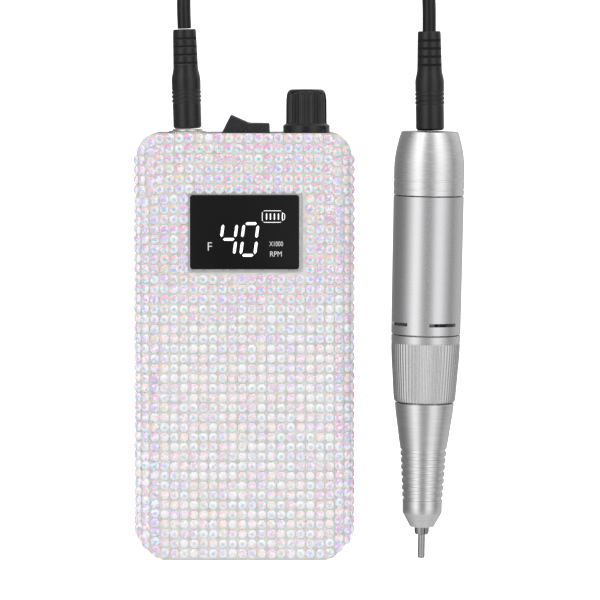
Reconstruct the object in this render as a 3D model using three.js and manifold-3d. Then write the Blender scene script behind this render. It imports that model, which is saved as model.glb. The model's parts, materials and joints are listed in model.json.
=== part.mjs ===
// Electric nail drill: a pocket control box with a stone-covered front, its pen-shaped handpiece,
// and the lead that joins them. ES module, millimetres, +Z up. The set lies on a table: the box on
// its four feet with the display up, the handpiece beside it, the spare lead in a tied coil.
// Origin: the middle of the box and handpiece, on the table. +Y points to the end with the controls.
import * as THREE from "three";
import { mergeVertices } from "three/addons/utils/BufferGeometryUtils.js";
import Module from "manifold-3d";

const wasm = await Module();
wasm.setup();

// ---------------------------------------------------------------- driving dimensions
const GAP = 0.3; // between pieces that touch
const DEG = Math.PI / 180;

// Control box case. Its own frame is centred on the case, with z = 0 on the table.
const CASE_X = -18.12;
const CASE_Y = -7.0;
const CASE_WIDTH = 69.3;
const CASE_LENGTH = 138.8;
const CASE_BACK = 1.2;
const CASE_FRONT = 24.1;
const PARTING = 11.55;
const WALL = 1.8;
const FLOOR = 2.0;
const END_WALL = 2.0;
const CORNER_R = 7.5;
const END_CORNER = 8.2; // reach of the flatter corners at the charging end
const END_CORNER_POWER = 1.55; // 1 would round them fully, 2 would make them straight
const FRONT_EDGE_R = 6.0;
const BACK_EDGE_R = 5.0;
const COVER_GLUE = 0.1; // glue line under the stones
const COVER_RISE = 1.1; // top of the stones above the case
const COVER_MARGIN = 0.6; // bare rim of the case around the stones
const CORE_Z = 12.7; // height of the jack, switch and speed shaft

// End panels, each set behind an opening in its end wall.
const CONTROL_OPENING = 56.2;
const CHARGING_OPENING = 48.8;
const OPENING_HEIGHT = 17.4;
const PANEL_MARGIN = 0.8; // how much wider the panel is than its opening
const PANEL_HEIGHT = 18.6;
const PANEL_THICK = 1.6;
const CASE_END = CASE_LENGTH / 2;
const PANEL_FACE = CASE_END - END_WALL - GAP;

// Display window in the front face.
const WINDOW = { x: 0.18, y: 37.5, width: 35.8, height: 24.65, corner: 1.0 };
const FRAME_RIM = 0.7;

// Controls on the +Y end.
const JACK_X = -18.5;
const JACK_BUSH_R = 3.9;
const JACK_BORE_R = 2.1;
const NUT_TOP = CASE_END + 1.1;
const ROCKER_X = 0.7;
const ROCKER_PIVOT_Y = 68.3;
const ROCKER_WIDTH = 11.0;
const ROCKER_REST = 12.3 * DEG; // tilt of the button at rest, with its right side pressed
const KNOB_X = 20.2;
const KNOB_BASE = 69.0;
const KNOB_TOP = 83.45;
const KNOB_R = 6.6;
const KNOB_FLANGE_R = 7.6;
const POT_SHAFT_R = 2.7;

// Plug, the same one at both ends of the lead: radius and distance from its mating face.
const PLUG_PIN_R = 1.75;
const PLUG_PIN_LENGTH = 14.0;
const BOOT_LENGTH = 32.3;
const BOOT_LEAN = 1.7 * DEG;
const BOX_PLUG_Y = 70.7;

// Handpiece. Its own frame has its origin at the centre of the rear face, and -Y runs to the tip.
const HAND_X = 42.4;
const HAND_Y = 62.7;
const HAND_TURN = -1.07 * DEG;
const HAND_R = 11.5;
const CAP_END = 20.75;
const SLEEVE_END = 66.2;
const RING_START = 66.5;
const RING_END = 88.5;
const NOSE_START = 88.8;
const NOSE_END = 129.8;
const COLLET_END = 132.2;
const TIP = 140.1;
const SLOT = { count: 4, span: 52 * DEG, centre: 67.6 * DEG, start: 62.15, width: 1.15 };
const SHANK_R = 1.175; // 3/32 inch shank

// Lead: 4.5 mm round cord, 1.06 m long with its coil.
const CORD_R = 2.25;
const COIL = { x: 2.1, y: 146.0, outer: 34.45, inner: 16.45, low: 1.0, high: 10.0 };
const TIE_WIDTH = 10.0;
const TIE_THICK = 0.8;

// ---------------------------------------------------------------- materials
const material = (color, roughness, metalness) =>
  new THREE.MeshStandardMaterial({ color, roughness, metalness });
const CASE_WHITE = material(0xe6e4e8, 0.35, 0.0);
const STONE = material(0xefe4f2, 0.12, 0.1);
const PANEL_SILVER = material(0xb9babd, 0.35, 0.6);
const BLACK_GLOSS = material(0x1b1b1c, 0.12, 0.0);
const BLACK_PLASTIC = material(0x2a2b2d, 0.5, 0.0);
const BLACK_RUBBER = material(0x222324, 0.6, 0.0);
const NICKEL = material(0xc9c9c6, 0.25, 1.0);
const ALUMINIUM = material(0xbfc0c1, 0.42, 1.0);
const STEEL = material(0xb4b6b8, 0.22, 1.0);
const SPRING_STEEL = material(0x9a9ca0, 0.3, 1.0);
const BRASS = material(0xc9a455, 0.3, 1.0);
const COPPER = material(0xb4683a, 0.35, 1.0);
const GRAPHITE = material(0x3a3a3c, 0.7, 0.2);
const FERRITE = material(0x38383a, 0.8, 0.1);
const BOARD_GREEN = material(0x1f5a3a, 0.5, 0.0);
const CELL_WRAP = material(0x3d7fb5, 0.35, 0.0);

// ---------------------------------------------------------------- shapes
const FINE = 32; // sides of a turned piece that shows
const COARSE = 20; // sides of a turned piece inside

// A geometry with its shared vertices merged, holding positions only.
function merged(geometry) {
  const bare = geometry.clone();
  bare.deleteAttribute("normal");
  bare.deleteAttribute("uv");
  return mergeVertices(bare, 1e-4);
}

function toManifold(geometry) {
  const g = merged(geometry);
  return new wasm.Manifold(
    new wasm.Mesh({
      numProp: 3,
      vertProperties: new Float32Array(g.attributes.position.array),
      triVerts: new Uint32Array(g.index.array),
    }),
  );
}

function fromManifold(solid) {
  const mesh = solid.getMesh();
  const positions = new Float32Array(mesh.numVert * 3);
  for (let i = 0; i < mesh.numVert; i++) {
    const start = i * mesh.numProp;
    positions.set(mesh.vertProperties.subarray(start, start + 3), i * 3);
  }
  const geometry = new THREE.BufferGeometry();
  geometry.setAttribute("position", new THREE.BufferAttribute(positions, 3));
  geometry.setIndex(new THREE.BufferAttribute(new Uint32Array(mesh.triVerts), 1));
  geometry.computeVertexNormals();
  return geometry;
}

const cut = (body, ...tools) =>
  fromManifold(tools.reduce((a, tool) => a.subtract(toManifold(tool)), toManifold(body)));
const join = (...bodies) => fromManifold(bodies.map(toManifold).reduce((a, b) => a.add(b)));
const common = (a, b) => fromManifold(toManifold(a).intersect(toManifold(b)));

// A box from its lowest corner to its highest.
function block(low, high) {
  const [x, y, z] = high.map((v, i) => v - low[i]);
  return new THREE.BoxGeometry(x, y, z).translate(low[0] + x / 2, low[1] + y / 2, low[2] + z / 2);
}

// A round rod along +Z.
function rodZ(x, y, radius, low, high, sides = 16) {
  const rod = new THREE.CylinderGeometry(radius, radius, high - low, sides);
  return rod.rotateX(Math.PI / 2).translate(x, y, (low + high) / 2);
}

// A round rod along Y at a place in the case.
function rodY(x, z, radius, low, high, sides = 20) {
  const rod = new THREE.CylinderGeometry(radius, radius, high - low, sides);
  return rod.translate(x, (low + high) / 2, z);
}

// A profile of [radius, y] points turned about the Y axis. It starts and ends on the axis, or closes.
function turned(profile, sides = COARSE) {
  const onAxis = profile[0][0] === 0 && profile.at(-1)[0] === 0;
  const loop = onAxis ? profile : [...profile, profile[0]];
  let area = 0;
  profile.forEach(([r, y], i) => {
    const [nextR, nextY] = profile[(i + 1) % profile.length];
    area += r * nextY - nextR * y;
  });
  const ordered = area > 0 ? loop : [...loop].reverse();
  return new THREE.LatheGeometry(
    ordered.map(([r, y]) => new THREE.Vector2(r, y)),
    sides,
  );
}

// The same, for a profile of [radius, distance from the rear face] points of the handpiece.
const turnedBack = (profile, sides) => turned(profile.map(([r, s]) => [r, -s]), sides);

// A tube of the handpiece between two distances from the rear face.
const tube = (outer, inner, start, end, sides) =>
  turnedBack([[inner, start], [outer, start], [outer, end], [inner, end]], sides);

function roundedRect(width, height, radius, x = 0, y = 0) {
  const w = width / 2;
  const h = height / 2;
  const shape = new THREE.Shape();
  shape.moveTo(x - w + radius, y - h);
  shape.lineTo(x + w - radius, y - h);
  shape.absarc(x + w - radius, y - h + radius, radius, -Math.PI / 2, 0);
  shape.lineTo(x + w, y + h - radius);
  shape.absarc(x + w - radius, y + h - radius, radius, 0, Math.PI / 2);
  shape.lineTo(x - w + radius, y + h);
  shape.absarc(x - w + radius, y + h - radius, radius, Math.PI / 2, Math.PI);
  shape.lineTo(x - w, y - h + radius);
  shape.absarc(x - w + radius, y - h + radius, radius, Math.PI, Math.PI * 1.5);
  return shape;
}

// A flat outline raised from one height to another.
const raised = (shape, low, high, curveSegments = 5) =>
  new THREE.ExtrudeGeometry(shape, {
    depth: high - low,
    bevelEnabled: false,
    curveSegments,
  }).translate(0, 0, low);

// An outline in X and Z drawn out along Y, from low to high.
function drawn(shape, low, high, curveSegments = 5) {
  const along = new THREE.ExtrudeGeometry(shape, { depth: high - low, bevelEnabled: false, curveSegments });
  return along.rotateX(Math.PI / 2).translate(0, high, 0);
}

// Part of a ring in X and Z, drawn out along Y.
function sector(inner, outer, centre, span, low, high) {
  const shape = new THREE.Shape();
  shape.absarc(0, 0, outer, centre - span / 2, centre + span / 2);
  shape.absarc(0, 0, inner, centre + span / 2, centre - span / 2, true);
  return drawn(shape, low, high, 8);
}

// A round section swept along a curve.
function swept(curve, radius, sides, steps) {
  const section = new THREE.Shape();
  for (let i = 0; i < sides; i++) {
    const a = (i / sides) * Math.PI * 2;
    section[i ? "lineTo" : "moveTo"](radius * Math.cos(a), radius * Math.sin(a));
  }
  return new THREE.ExtrudeGeometry(section, { steps, bevelEnabled: false, extrudePath: curve });
}

const through = (points) => new THREE.CatmullRomCurve3(points.map((p) => new THREE.Vector3(...p)));

// ---------------------------------------------------------------- the scene
const drill = new THREE.Group();
const box = new THREE.Group();
box.position.set(CASE_X, CASE_Y, 0);
const hand = new THREE.Group();
hand.position.set(HAND_X, HAND_Y, HAND_R);
hand.rotation.z = HAND_TURN;
drill.add(box, hand);

function piece(parent, name, geometry, finish) {
  const mesh = new THREE.Mesh(geometry, finish);
  mesh.name = name;
  parent.add(mesh);
  return mesh;
}

// ---------------------------------------------------------------- case shells
// Section of the front shell: flat front, rounded long edges, grown or shrunk evenly.
function frontSection(grow, low) {
  const half = CASE_WIDTH / 2 + grow;
  const top = CASE_FRONT + grow;
  const r = FRONT_EDGE_R + grow;
  const shape = new THREE.Shape();
  shape.moveTo(-half, low);
  shape.lineTo(half, low);
  shape.lineTo(half, top - r);
  shape.absarc(half - r, top - r, r, 0, Math.PI / 2);
  shape.lineTo(r - half, top);
  shape.absarc(r - half, top - r, r, Math.PI / 2, Math.PI);
  return shape;
}

function backSection(shrink, low, high) {
  const half = CASE_WIDTH / 2 - shrink;
  const r = BACK_EDGE_R - shrink;
  const shape = new THREE.Shape();
  shape.moveTo(half, high);
  shape.lineTo(-half, high);
  shape.lineTo(-half, low + r);
  shape.absarc(r - half, low + r, r, Math.PI, Math.PI * 1.5);
  shape.lineTo(half - r, low);
  shape.absarc(half - r, low + r, r, -Math.PI / 2, 0);
  return shape;
}

// One flatter corner, from the long side to the charging end.
function flatCorner(side, end) {
  const reach = END_CORNER - side / 2;
  return [0, 1, 2, 3, 4, 5, 6].map((i) => {
    const a = (i * Math.PI) / 12;
    const x = CASE_WIDTH / 2 - side - reach + reach * Math.cos(a) ** END_CORNER_POWER;
    const y = CASE_END - end - reach + reach * Math.sin(a) ** END_CORNER_POWER;
    return [x, -y];
  });
}

// Plan of the case, shrunk by one measure at the sides and another at the ends.
function casePlanShape(side, end) {
  const w = CASE_WIDTH / 2 - side;
  const l = CASE_END - end;
  const r = CORNER_R - side;
  const corner = flatCorner(side, end);
  const shape = new THREE.Shape();
  shape.moveTo(w, l - r);
  shape.absarc(w - r, l - r, r, 0, Math.PI / 2);
  shape.lineTo(r - w, l);
  shape.absarc(r - w, l - r, r, Math.PI / 2, Math.PI);
  corner.forEach(([x, y]) => shape.lineTo(-x, y));
  [...corner].reverse().forEach(([x, y]) => shape.lineTo(x, y));
  return shape;
}

const casePlan = raised(casePlanShape(0, 0), 0, CASE_FRONT + 1, 6);
const cavityPlan = raised(casePlanShape(WALL, END_WALL), 0, CASE_FRONT + 1, 6);
const endOpening = (side) => {
  const w = side > 0 ? CONTROL_OPENING : CHARGING_OPENING;
  const h = OPENING_HEIGHT;
  const reach = CASE_END * side;
  const inner = reach - (END_WALL + 1) * side;
  const low = Math.min(reach + side, inner);
  const high = Math.max(reach + side, inner);
  return block([-w / 2, low, CORE_Z - h / 2], [w / 2, high, CORE_Z + h / 2]);
};
const SCREW_SPOTS = [
  [-30.3, -60],
  [30.3, -60],
  [-30.3, 60],
  [30.3, 60],
];
const POST_R = 3.0;
const PILOT_R = 1.3;
const PILOT_TOP = 16.0;
const HEAD_R = 2.6;
const HEAD_THICK = 1.1;

const windowHole = raised(
  roundedRect(WINDOW.width, WINDOW.height, WINDOW.corner, WINDOW.x, WINDOW.y),
  CASE_FRONT - WALL - 1,
  CASE_FRONT + 1,
  3,
);
const frontBlank = common(
  drawn(frontSection(0, PARTING + GAP / 2), -CASE_END - 1, CASE_END + 1),
  casePlan,
);
const frontCavity = common(
  drawn(frontSection(-WALL, PARTING - 1), -CASE_END - 1, CASE_END + 1),
  cavityPlan,
);
const postFoot = CASE_BACK + FLOOR + GAP;
const posts = common(
  join(...SCREW_SPOTS.map(([x, y]) => rodZ(x, y, POST_R, postFoot, CASE_FRONT - 1, 12))),
  drawn(frontSection(-0.5, postFoot - 1), -CASE_END, CASE_END),
);
const pilots = SCREW_SPOTS.map(([x, y]) => rodZ(x, y, PILOT_R, postFoot - 1, PILOT_TOP, 8));
piece(
  box,
  "front_shell",
  cut(
    join(cut(frontBlank, frontCavity), posts),
    windowHole,
    endOpening(1),
    endOpening(-1),
    ...pilots,
  ),
  CASE_WHITE,
);

const backBlank = common(
  drawn(backSection(0, CASE_BACK, PARTING - GAP / 2), -CASE_END - 1, CASE_END + 1),
  casePlan,
);
const backCavity = common(
  drawn(backSection(WALL, CASE_BACK + FLOOR, PARTING + 1), -CASE_END - 1, CASE_END + 1),
  cavityPlan,
);
// The screw posts stand against the side walls, so the back shell is relieved around them.
const postRelief = SCREW_SPOTS.map(([x, y]) =>
  rodZ(x, y, POST_R + GAP, CASE_BACK + FLOOR, PARTING + 1, 12),
);
const screwHoles = SCREW_SPOTS.flatMap(([x, y]) => [
  rodZ(x, y, PILOT_R, CASE_BACK - 1, postFoot, 8),
  rodZ(x, y, HEAD_R + GAP, CASE_BACK - 1, CASE_BACK + HEAD_THICK + 0.1, 12),
]);
piece(
  box,
  "back_shell",
  cut(backBlank, backCavity, endOpening(1), endOpening(-1), ...postRelief, ...screwHoles),
  CASE_WHITE,
);

const headTop = CASE_BACK + HEAD_THICK;
SCREW_SPOTS.forEach(([x, y], i) => {
  const head = rodZ(x, y, HEAD_R, CASE_BACK + 0.1, headTop, 12);
  const shank = rodZ(x, y, PILOT_R - GAP, CASE_BACK + 0.5, PILOT_TOP - 2, 8);
  piece(box, `case_screw_${i + 1}`, join(head, shank), STEEL);
});

const FOOT_R = 5.0;
const FOOT_SPOTS = [
  [-24, -51],
  [24, -51],
  [-24, 51],
  [24, 51],
];
FOOT_SPOTS.forEach(([x, y], i) => {
  piece(box, `rubber_foot_${i + 1}`, rodZ(x, y, FOOT_R, 0, CASE_BACK, 16), BLACK_RUBBER);
});

// ---------------------------------------------------------------- stone cover
// One sheet over the front and both sides. It stops short of the case's corners and ends.
function coverPlan() {
  const outer = CASE_WIDTH / 2 + COVER_RISE + 1;
  const w = CASE_WIDTH / 2 - COVER_MARGIN;
  const l = CASE_END - COVER_MARGIN;
  const r = CORNER_R - COVER_MARGIN;
  const shoulder = l - r;
  const corner = flatCorner(COVER_MARGIN, COVER_MARGIN);
  const foot = corner[0][1];
  const shape = new THREE.Shape();
  shape.moveTo(outer, foot);
  shape.lineTo(outer, shoulder);
  shape.lineTo(w, shoulder);
  shape.absarc(w - r, shoulder, r, 0, Math.PI / 2);
  shape.lineTo(r - w, l);
  shape.absarc(r - w, shoulder, r, Math.PI / 2, Math.PI);
  shape.lineTo(-outer, shoulder);
  shape.lineTo(-outer, foot);
  corner.forEach(([x, y]) => shape.lineTo(-x, y));
  [...corner].reverse().forEach(([x, y]) => shape.lineTo(x, y));
  return shape;
}
const coverLow = PARTING + GAP / 2 + 0.2;
const frameOuter = [WINDOW.width + 2 * FRAME_RIM, WINDOW.height + 2 * FRAME_RIM];
piece(
  box,
  "rhinestone_cover",
  cut(
    common(
      drawn(frontSection(COVER_RISE, coverLow), -CASE_END - 1, CASE_END + 1),
      raised(coverPlan(), 0, CASE_FRONT + 3, 6),
    ),
    drawn(frontSection(COVER_GLUE, coverLow - 1), -CASE_END - 2, CASE_END + 2),
    raised(
      roundedRect(frameOuter[0] + 2 * GAP, frameOuter[1] + 2 * GAP, 2, WINDOW.x, WINDOW.y),
      CASE_FRONT - 1,
      CASE_FRONT + 3,
      3,
    ),
  ),
  STONE,
);

// ---------------------------------------------------------------- display
const frameShape = roundedRect(...frameOuter, WINDOW.corner + FRAME_RIM, WINDOW.x, WINDOW.y);
frameShape.holes.push(
  roundedRect(WINDOW.width - 0.2, WINDOW.height - 0.2, WINDOW.corner, WINDOW.x, WINDOW.y),
);
piece(box, "display_frame", raised(frameShape, CASE_FRONT + 0.05, CASE_FRONT + 0.75, 4), PANEL_SILVER);
piece(
  box,
  "display_lens",
  raised(
    roundedRect(WINDOW.width - 0.8, WINDOW.height - 0.8, WINDOW.corner - 0.2, WINDOW.x, WINDOW.y),
    CASE_FRONT - 1.1,
    CASE_FRONT + 0.5,
    4,
  ),
  BLACK_GLOSS,
);
const BOARD_TOP = 14.2;
piece(
  box,
  "display_module",
  raised(
    roundedRect(WINDOW.width + 2, WINDOW.height + 1, 0.6, WINDOW.x, WINDOW.y),
    BOARD_TOP + 0.1,
    CASE_FRONT - WALL - GAP,
    2,
  ),
  BLACK_PLASTIC,
);
piece(box, "control_board", block([-30, 9.0, BOARD_TOP - 1.6], [30, 50.5, BOARD_TOP]), BOARD_GREEN);

// ---------------------------------------------------------------- battery
const CELL = { r: 9.1, length: 65.0, x: 9.6, front: 6.7 };
[-1, 1].forEach((side, i) => {
  const cell = rodY(side * CELL.x, CORE_Z, CELL.r, CELL.front - CELL.length, CELL.front);
  piece(box, `battery_cell_${i + 1}`, cell, CELL_WRAP);
});
// Two end walls joined by a spine that runs in the groove between the cells.
const TRAY_WALL = 1.6;
const trayWall = (low) => drawn(roundedRect(39.5, 18.2, 3, 0, CORE_Z), low, low + TRAY_WALL, 3);
const trayFront = CELL.front + 0.1;
const trayRear = CELL.front - CELL.length - 0.1 - TRAY_WALL;
piece(
  box,
  "battery_tray",
  join(
    trayWall(trayFront),
    trayWall(trayRear),
    block([-3.5, trayRear + 0.5, CORE_Z - 9.1], [3.5, trayFront + 1, CORE_Z - 7.9]),
  ),
  BLACK_PLASTIC,
);

// ---------------------------------------------------------------- end panels and charging socket
const panelPlate = (low, opening) =>
  drawn(
    roundedRect(opening + PANEL_MARGIN, PANEL_HEIGHT, 1.5, 0, CORE_Z),
    low,
    low + PANEL_THICK,
    3,
  );
const ROCKER_BODY = [19.4, 13.4];
const panelLow = PANEL_FACE - PANEL_THICK;
const [rockerL, rockerH] = ROCKER_BODY.map((v) => v / 2 + GAP);
piece(
  box,
  "control_end_panel",
  cut(
    panelPlate(panelLow, CONTROL_OPENING),
    rodY(JACK_X, CORE_Z, JACK_BUSH_R + GAP, panelLow - 1, PANEL_FACE + 1),
    rodY(KNOB_X, CORE_Z, POT_SHAFT_R + 1.2, panelLow - 1, PANEL_FACE + 1),
    block(
      [ROCKER_X - rockerL, panelLow - 1, CORE_Z - rockerH],
      [ROCKER_X + rockerL, PANEL_FACE + 1, CORE_Z + rockerH],
    ),
  ),
  PANEL_SILVER,
);

const PORT = { width: 9.0, height: 3.3, depth: 7.4, corner: 1.5 };
const portFace = -CASE_END + 0.6;
piece(
  box,
  "charging_end_panel",
  cut(
    panelPlate(-PANEL_FACE, CHARGING_OPENING),
    drawn(
      roundedRect(PORT.width + 2 * GAP, PORT.height + 2 * GAP, PORT.corner + GAP, 0, CORE_Z),
      -PANEL_FACE - 1,
      -panelLow + 1,
    ),
  ),
  PANEL_SILVER,
);
const portBody = drawn(
  roundedRect(PORT.width, PORT.height, PORT.corner, 0, CORE_Z),
  portFace,
  portFace + PORT.depth,
  4,
);
const portMouth = drawn(
  roundedRect(PORT.width - 0.7, PORT.height - 0.7, PORT.corner - 0.35, 0, CORE_Z),
  portFace - 1,
  portFace + PORT.depth - 1,
  4,
);
const portTongue = block(
  [-3.2, portFace + 1, CORE_Z - 0.35],
  [3.2, portFace + PORT.depth - 0.5, CORE_Z + 0.35],
);
piece(box, "charging_socket", join(cut(portBody, portMouth), portTongue), STEEL);

// ---------------------------------------------------------------- output jack
const jackBack = 53.0;
const bushTop = NUT_TOP - 0.2;
piece(
  box,
  "output_jack_body",
  turned(
    [
      [0, jackBack],
      [5.2, jackBack],
      [5.2, panelLow - GAP],
      [JACK_BUSH_R, panelLow - GAP],
      [JACK_BUSH_R, bushTop],
      [JACK_BORE_R, bushTop],
      [JACK_BORE_R, jackBack + 2],
      [0, jackBack + 2],
    ],
    COARSE,
  ).translate(JACK_X, 0, CORE_Z),
  BLACK_PLASTIC,
);
const NUT_FLANGE_R = 6.2;
const NUT_COLLAR_R = 4.9;
piece(
  box,
  "output_jack_nut",
  turned(
    [
      [JACK_BUSH_R + 0.2, PANEL_FACE + 0.1],
      [NUT_FLANGE_R, PANEL_FACE + 0.1],
      [NUT_FLANGE_R, NUT_TOP - 0.9],
      [NUT_COLLAR_R, NUT_TOP - 0.6],
      [NUT_COLLAR_R, NUT_TOP],
      [JACK_BUSH_R + 0.2, NUT_TOP],
    ],
    24,
  ).translate(JACK_X, 0, CORE_Z),
  NICKEL,
);

// ---------------------------------------------------------------- rocker switch
const rocker = new THREE.Group();
rocker.position.set(ROCKER_X, ROCKER_PIVOT_Y, CORE_Z);
rocker.rotation.z = -ROCKER_REST;
box.add(rocker);
// Outline of the button, seen along its pivot: two sloped halves on a tapered skirt.
const BUTTON = [
  [-8.2, -1.2],
  [-7.6, -2.8],
  [-4.2, -5.0],
  [4.2, -5.0],
  [7.6, -2.8],
  [8.2, -1.2],
  [6.45, 5.65],
  [0, 4.3],
  [-6.45, 5.65],
];
const buttonShape = new THREE.Shape(BUTTON.map(([x, y]) => new THREE.Vector2(x, y)));
const PIP_R = 0.9;
const buttonHalf = ROCKER_WIDTH / 2;
piece(
  rocker,
  "rocker_button",
  join(raised(buttonShape, -buttonHalf, buttonHalf), rodZ(0, 0, PIP_R, -6.5, 6.5, 12)),
  BLACK_PLASTIC,
);
const housingLow = 54.5;
const [housingX, housingZ] = ROCKER_BODY.map((v) => v / 2);
const BEZEL = 0.8;
piece(
  box,
  "rocker_housing",
  cut(
    join(
      block(
        [ROCKER_X - housingX, housingLow, CORE_Z - housingZ],
        [ROCKER_X + housingX, PANEL_FACE + 1.0, CORE_Z + housingZ],
      ),
      block(
        [ROCKER_X - housingX - BEZEL, PANEL_FACE + 0.1, CORE_Z - housingZ - BEZEL],
        [ROCKER_X + housingX + BEZEL, ROCKER_PIVOT_Y + 0.6, CORE_Z + housingZ + BEZEL],
      ),
    ),
    block(
      [ROCKER_X - 9.1, housingLow + 2, CORE_Z - 5.9],
      [ROCKER_X + 9.1, ROCKER_PIVOT_Y + 3, CORE_Z + 5.9],
    ),
    rodZ(ROCKER_X, ROCKER_PIVOT_Y, PIP_R + GAP, 0, 25, 12),
  ),
  BLACK_PLASTIC,
);

// ---------------------------------------------------------------- speed control
const potBack = 56.5;
piece(
  box,
  "speed_pot_body",
  turned(
    [
      [POT_SHAFT_R + GAP, potBack],
      [6.6, potBack],
      [6.6, panelLow - GAP],
      [POT_SHAFT_R + 0.9, panelLow - GAP],
      [POT_SHAFT_R + 0.9, KNOB_BASE + 1.4],
      [POT_SHAFT_R + GAP, KNOB_BASE + 1.4],
    ],
    24,
  ).translate(KNOB_X, 0, CORE_Z),
  STEEL,
);
piece(
  box,
  "speed_pot_nut",
  cut(
    rodY(KNOB_X, CORE_Z, 5.2, PANEL_FACE + 0.1, KNOB_BASE - GAP, 6),
    rodY(KNOB_X, CORE_Z, POT_SHAFT_R + 1.2, PANEL_FACE - 1, KNOB_BASE + 1),
  ),
  NICKEL,
);
piece(
  box,
  "speed_pot_shaft",
  rodY(KNOB_X, CORE_Z, POT_SHAFT_R, potBack + 1, KNOB_TOP - 3.0, 16),
  STEEL,
);
piece(
  box,
  "speed_knob",
  turned(
    [
      [0, KNOB_TOP],
      [KNOB_R - 1.0, KNOB_TOP],
      [KNOB_R - 0.2, KNOB_TOP - 1.2],
      [KNOB_R, KNOB_BASE + 3.4],
      [KNOB_FLANGE_R - 0.2, KNOB_BASE + 3.2],
      [KNOB_FLANGE_R, KNOB_BASE + 2.8],
      [KNOB_FLANGE_R, KNOB_BASE],
      [5.4, KNOB_BASE],
      [5.4, KNOB_BASE + 2.2],
      [POT_SHAFT_R + GAP, KNOB_BASE + 2.2],
      [POT_SHAFT_R + GAP, KNOB_TOP - 2.6],
      [0, KNOB_TOP - 2.6],
    ],
    FINE,
  ).translate(KNOB_X, 0, CORE_Z),
  BLACK_PLASTIC,
);

// ---------------------------------------------------------------- plugs
// Rubber body: barrel, grip ribs, shoulder and flexible neck, as [radius, distance] from its face.
const BOOT = [
  [0, 0],
  [4.2, 0],
  [4.6, 0.5],
  [4.6, 8.3],
  [4.75, 8.6],
  [4.75, 15.8],
  [4.6, 16.9],
  [4.05, 19.2],
  [3.75, BOOT_LENGTH],
  [0, BOOT_LENGTH],
];

function plug(parent, name, x, y, z) {
  const lean = new THREE.Group();
  lean.position.set(x, y, z);
  lean.rotation.z = BOOT_LEAN;
  parent.add(lean);
  piece(lean, name, turned(BOOT, 24), BLACK_RUBBER);
  const pinTop = y - 0.2;
  const pinLow = y - PLUG_PIN_LENGTH;
  const pin = turned(
    [
      [0, pinTop],
      [PLUG_PIN_R, pinTop],
      [PLUG_PIN_R, pinLow + 2.2],
      [PLUG_PIN_R - 0.5, pinLow + 1.8],
      [PLUG_PIN_R - 0.1, pinLow + 1.2],
      [0.5, pinLow],
      [0, pinLow],
    ],
    16,
  );
  piece(parent, `${name}_pin`, pin.translate(x, 0, z), NICKEL);
}
plug(box, "box_plug", JACK_X, BOX_PLUG_Y, CORE_Z);
const HAND_PLUG_Y = 0.35;
plug(hand, "hand_plug", 0, HAND_PLUG_Y, 0);

// ---------------------------------------------------------------- handpiece shells
piece(
  hand,
  "rear_cap",
  turnedBack(
    [
      [9.1, 0],
      [9.4, 0.3],
      [10.0, 2.3],
      [10.85, 6.2],
      [11.4, 10.2],
      [HAND_R, 13.0],
      [HAND_R, CAP_END],
      [10.3, CAP_END],
      [10.3, 10.0],
      [8.6, 3.0],
      [5.0, 2.2],
      [5.0, 0],
    ],
    FINE,
  ),
  ALUMINIUM,
);
piece(
  hand,
  "rear_socket",
  turnedBack(
    [
      [2.1, 2.6],
      [4.7, 2.6],
      [4.7, 16.4],
      [0, 16.4],
      [0, 15.2],
      [2.1, 15.2],
    ],
    COARSE,
  ),
  BLACK_PLASTIC,
);
const sleeveSlots = Array.from({ length: SLOT.count }, (_, i) =>
  sector(
    9.8,
    12.5,
    SLOT.centre + (i * Math.PI * 2) / SLOT.count,
    SLOT.span,
    -SLOT.start - SLOT.width,
    -SLOT.start,
  ),
);
piece(
  hand,
  "motor_sleeve",
  cut(
    turnedBack(
      [
        [10.4, CAP_END + GAP],
        [HAND_R, CAP_END + GAP],
        [HAND_R, 56],
        [11.35, SLEEVE_END],
        [10.4, SLEEVE_END],
      ],
      FINE,
    ),
    ...sleeveSlots,
  ),
  ALUMINIUM,
);
piece(
  hand,
  "chuck_body",
  turnedBack(
    [
      [6.6, 64.8],
      [10.1, 64.8],
      [10.1, SLEEVE_END],
      [8.8, SLEEVE_END],
      [8.8, RING_END],
      [8.0, RING_END],
      [8.0, 91.6],
      [7.2, 91.6],
      [7.2, 71.6],
      [6.6, 71.6],
    ],
    24,
  ),
  STEEL,
);
piece(
  hand,
  "twist_ring",
  turnedBack(
    [
      [9.2, RING_START],
      [11.3, RING_START],
      [11.25, 69.0],
      [11.2, 70.0],
      [10.75, 79.0],
      [10.2, 87.4],
      [9.7, RING_END],
      [9.2, RING_END],
    ],
    FINE,
  ),
  ALUMINIUM,
);
piece(
  hand,
  "nose_cone",
  turnedBack(
    [
      [9.7, NOSE_START],
      [8.15, 100.5],
      [7.5, 104.4],
      [6.5, 121.4],
      [6.45, 125.1],
      [4.3, 129.4],
      [3.8, NOSE_END],
      [2.9, NOSE_END],
      [2.9, 129.0],
      [3.95, 128.9],
      [3.95, 120.0],
      [6.0, 119.9],
      [6.0, 106.0],
      [8.4, 92.0],
      [8.4, NOSE_START],
    ],
    FINE,
  ),
  STEEL,
);

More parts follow.
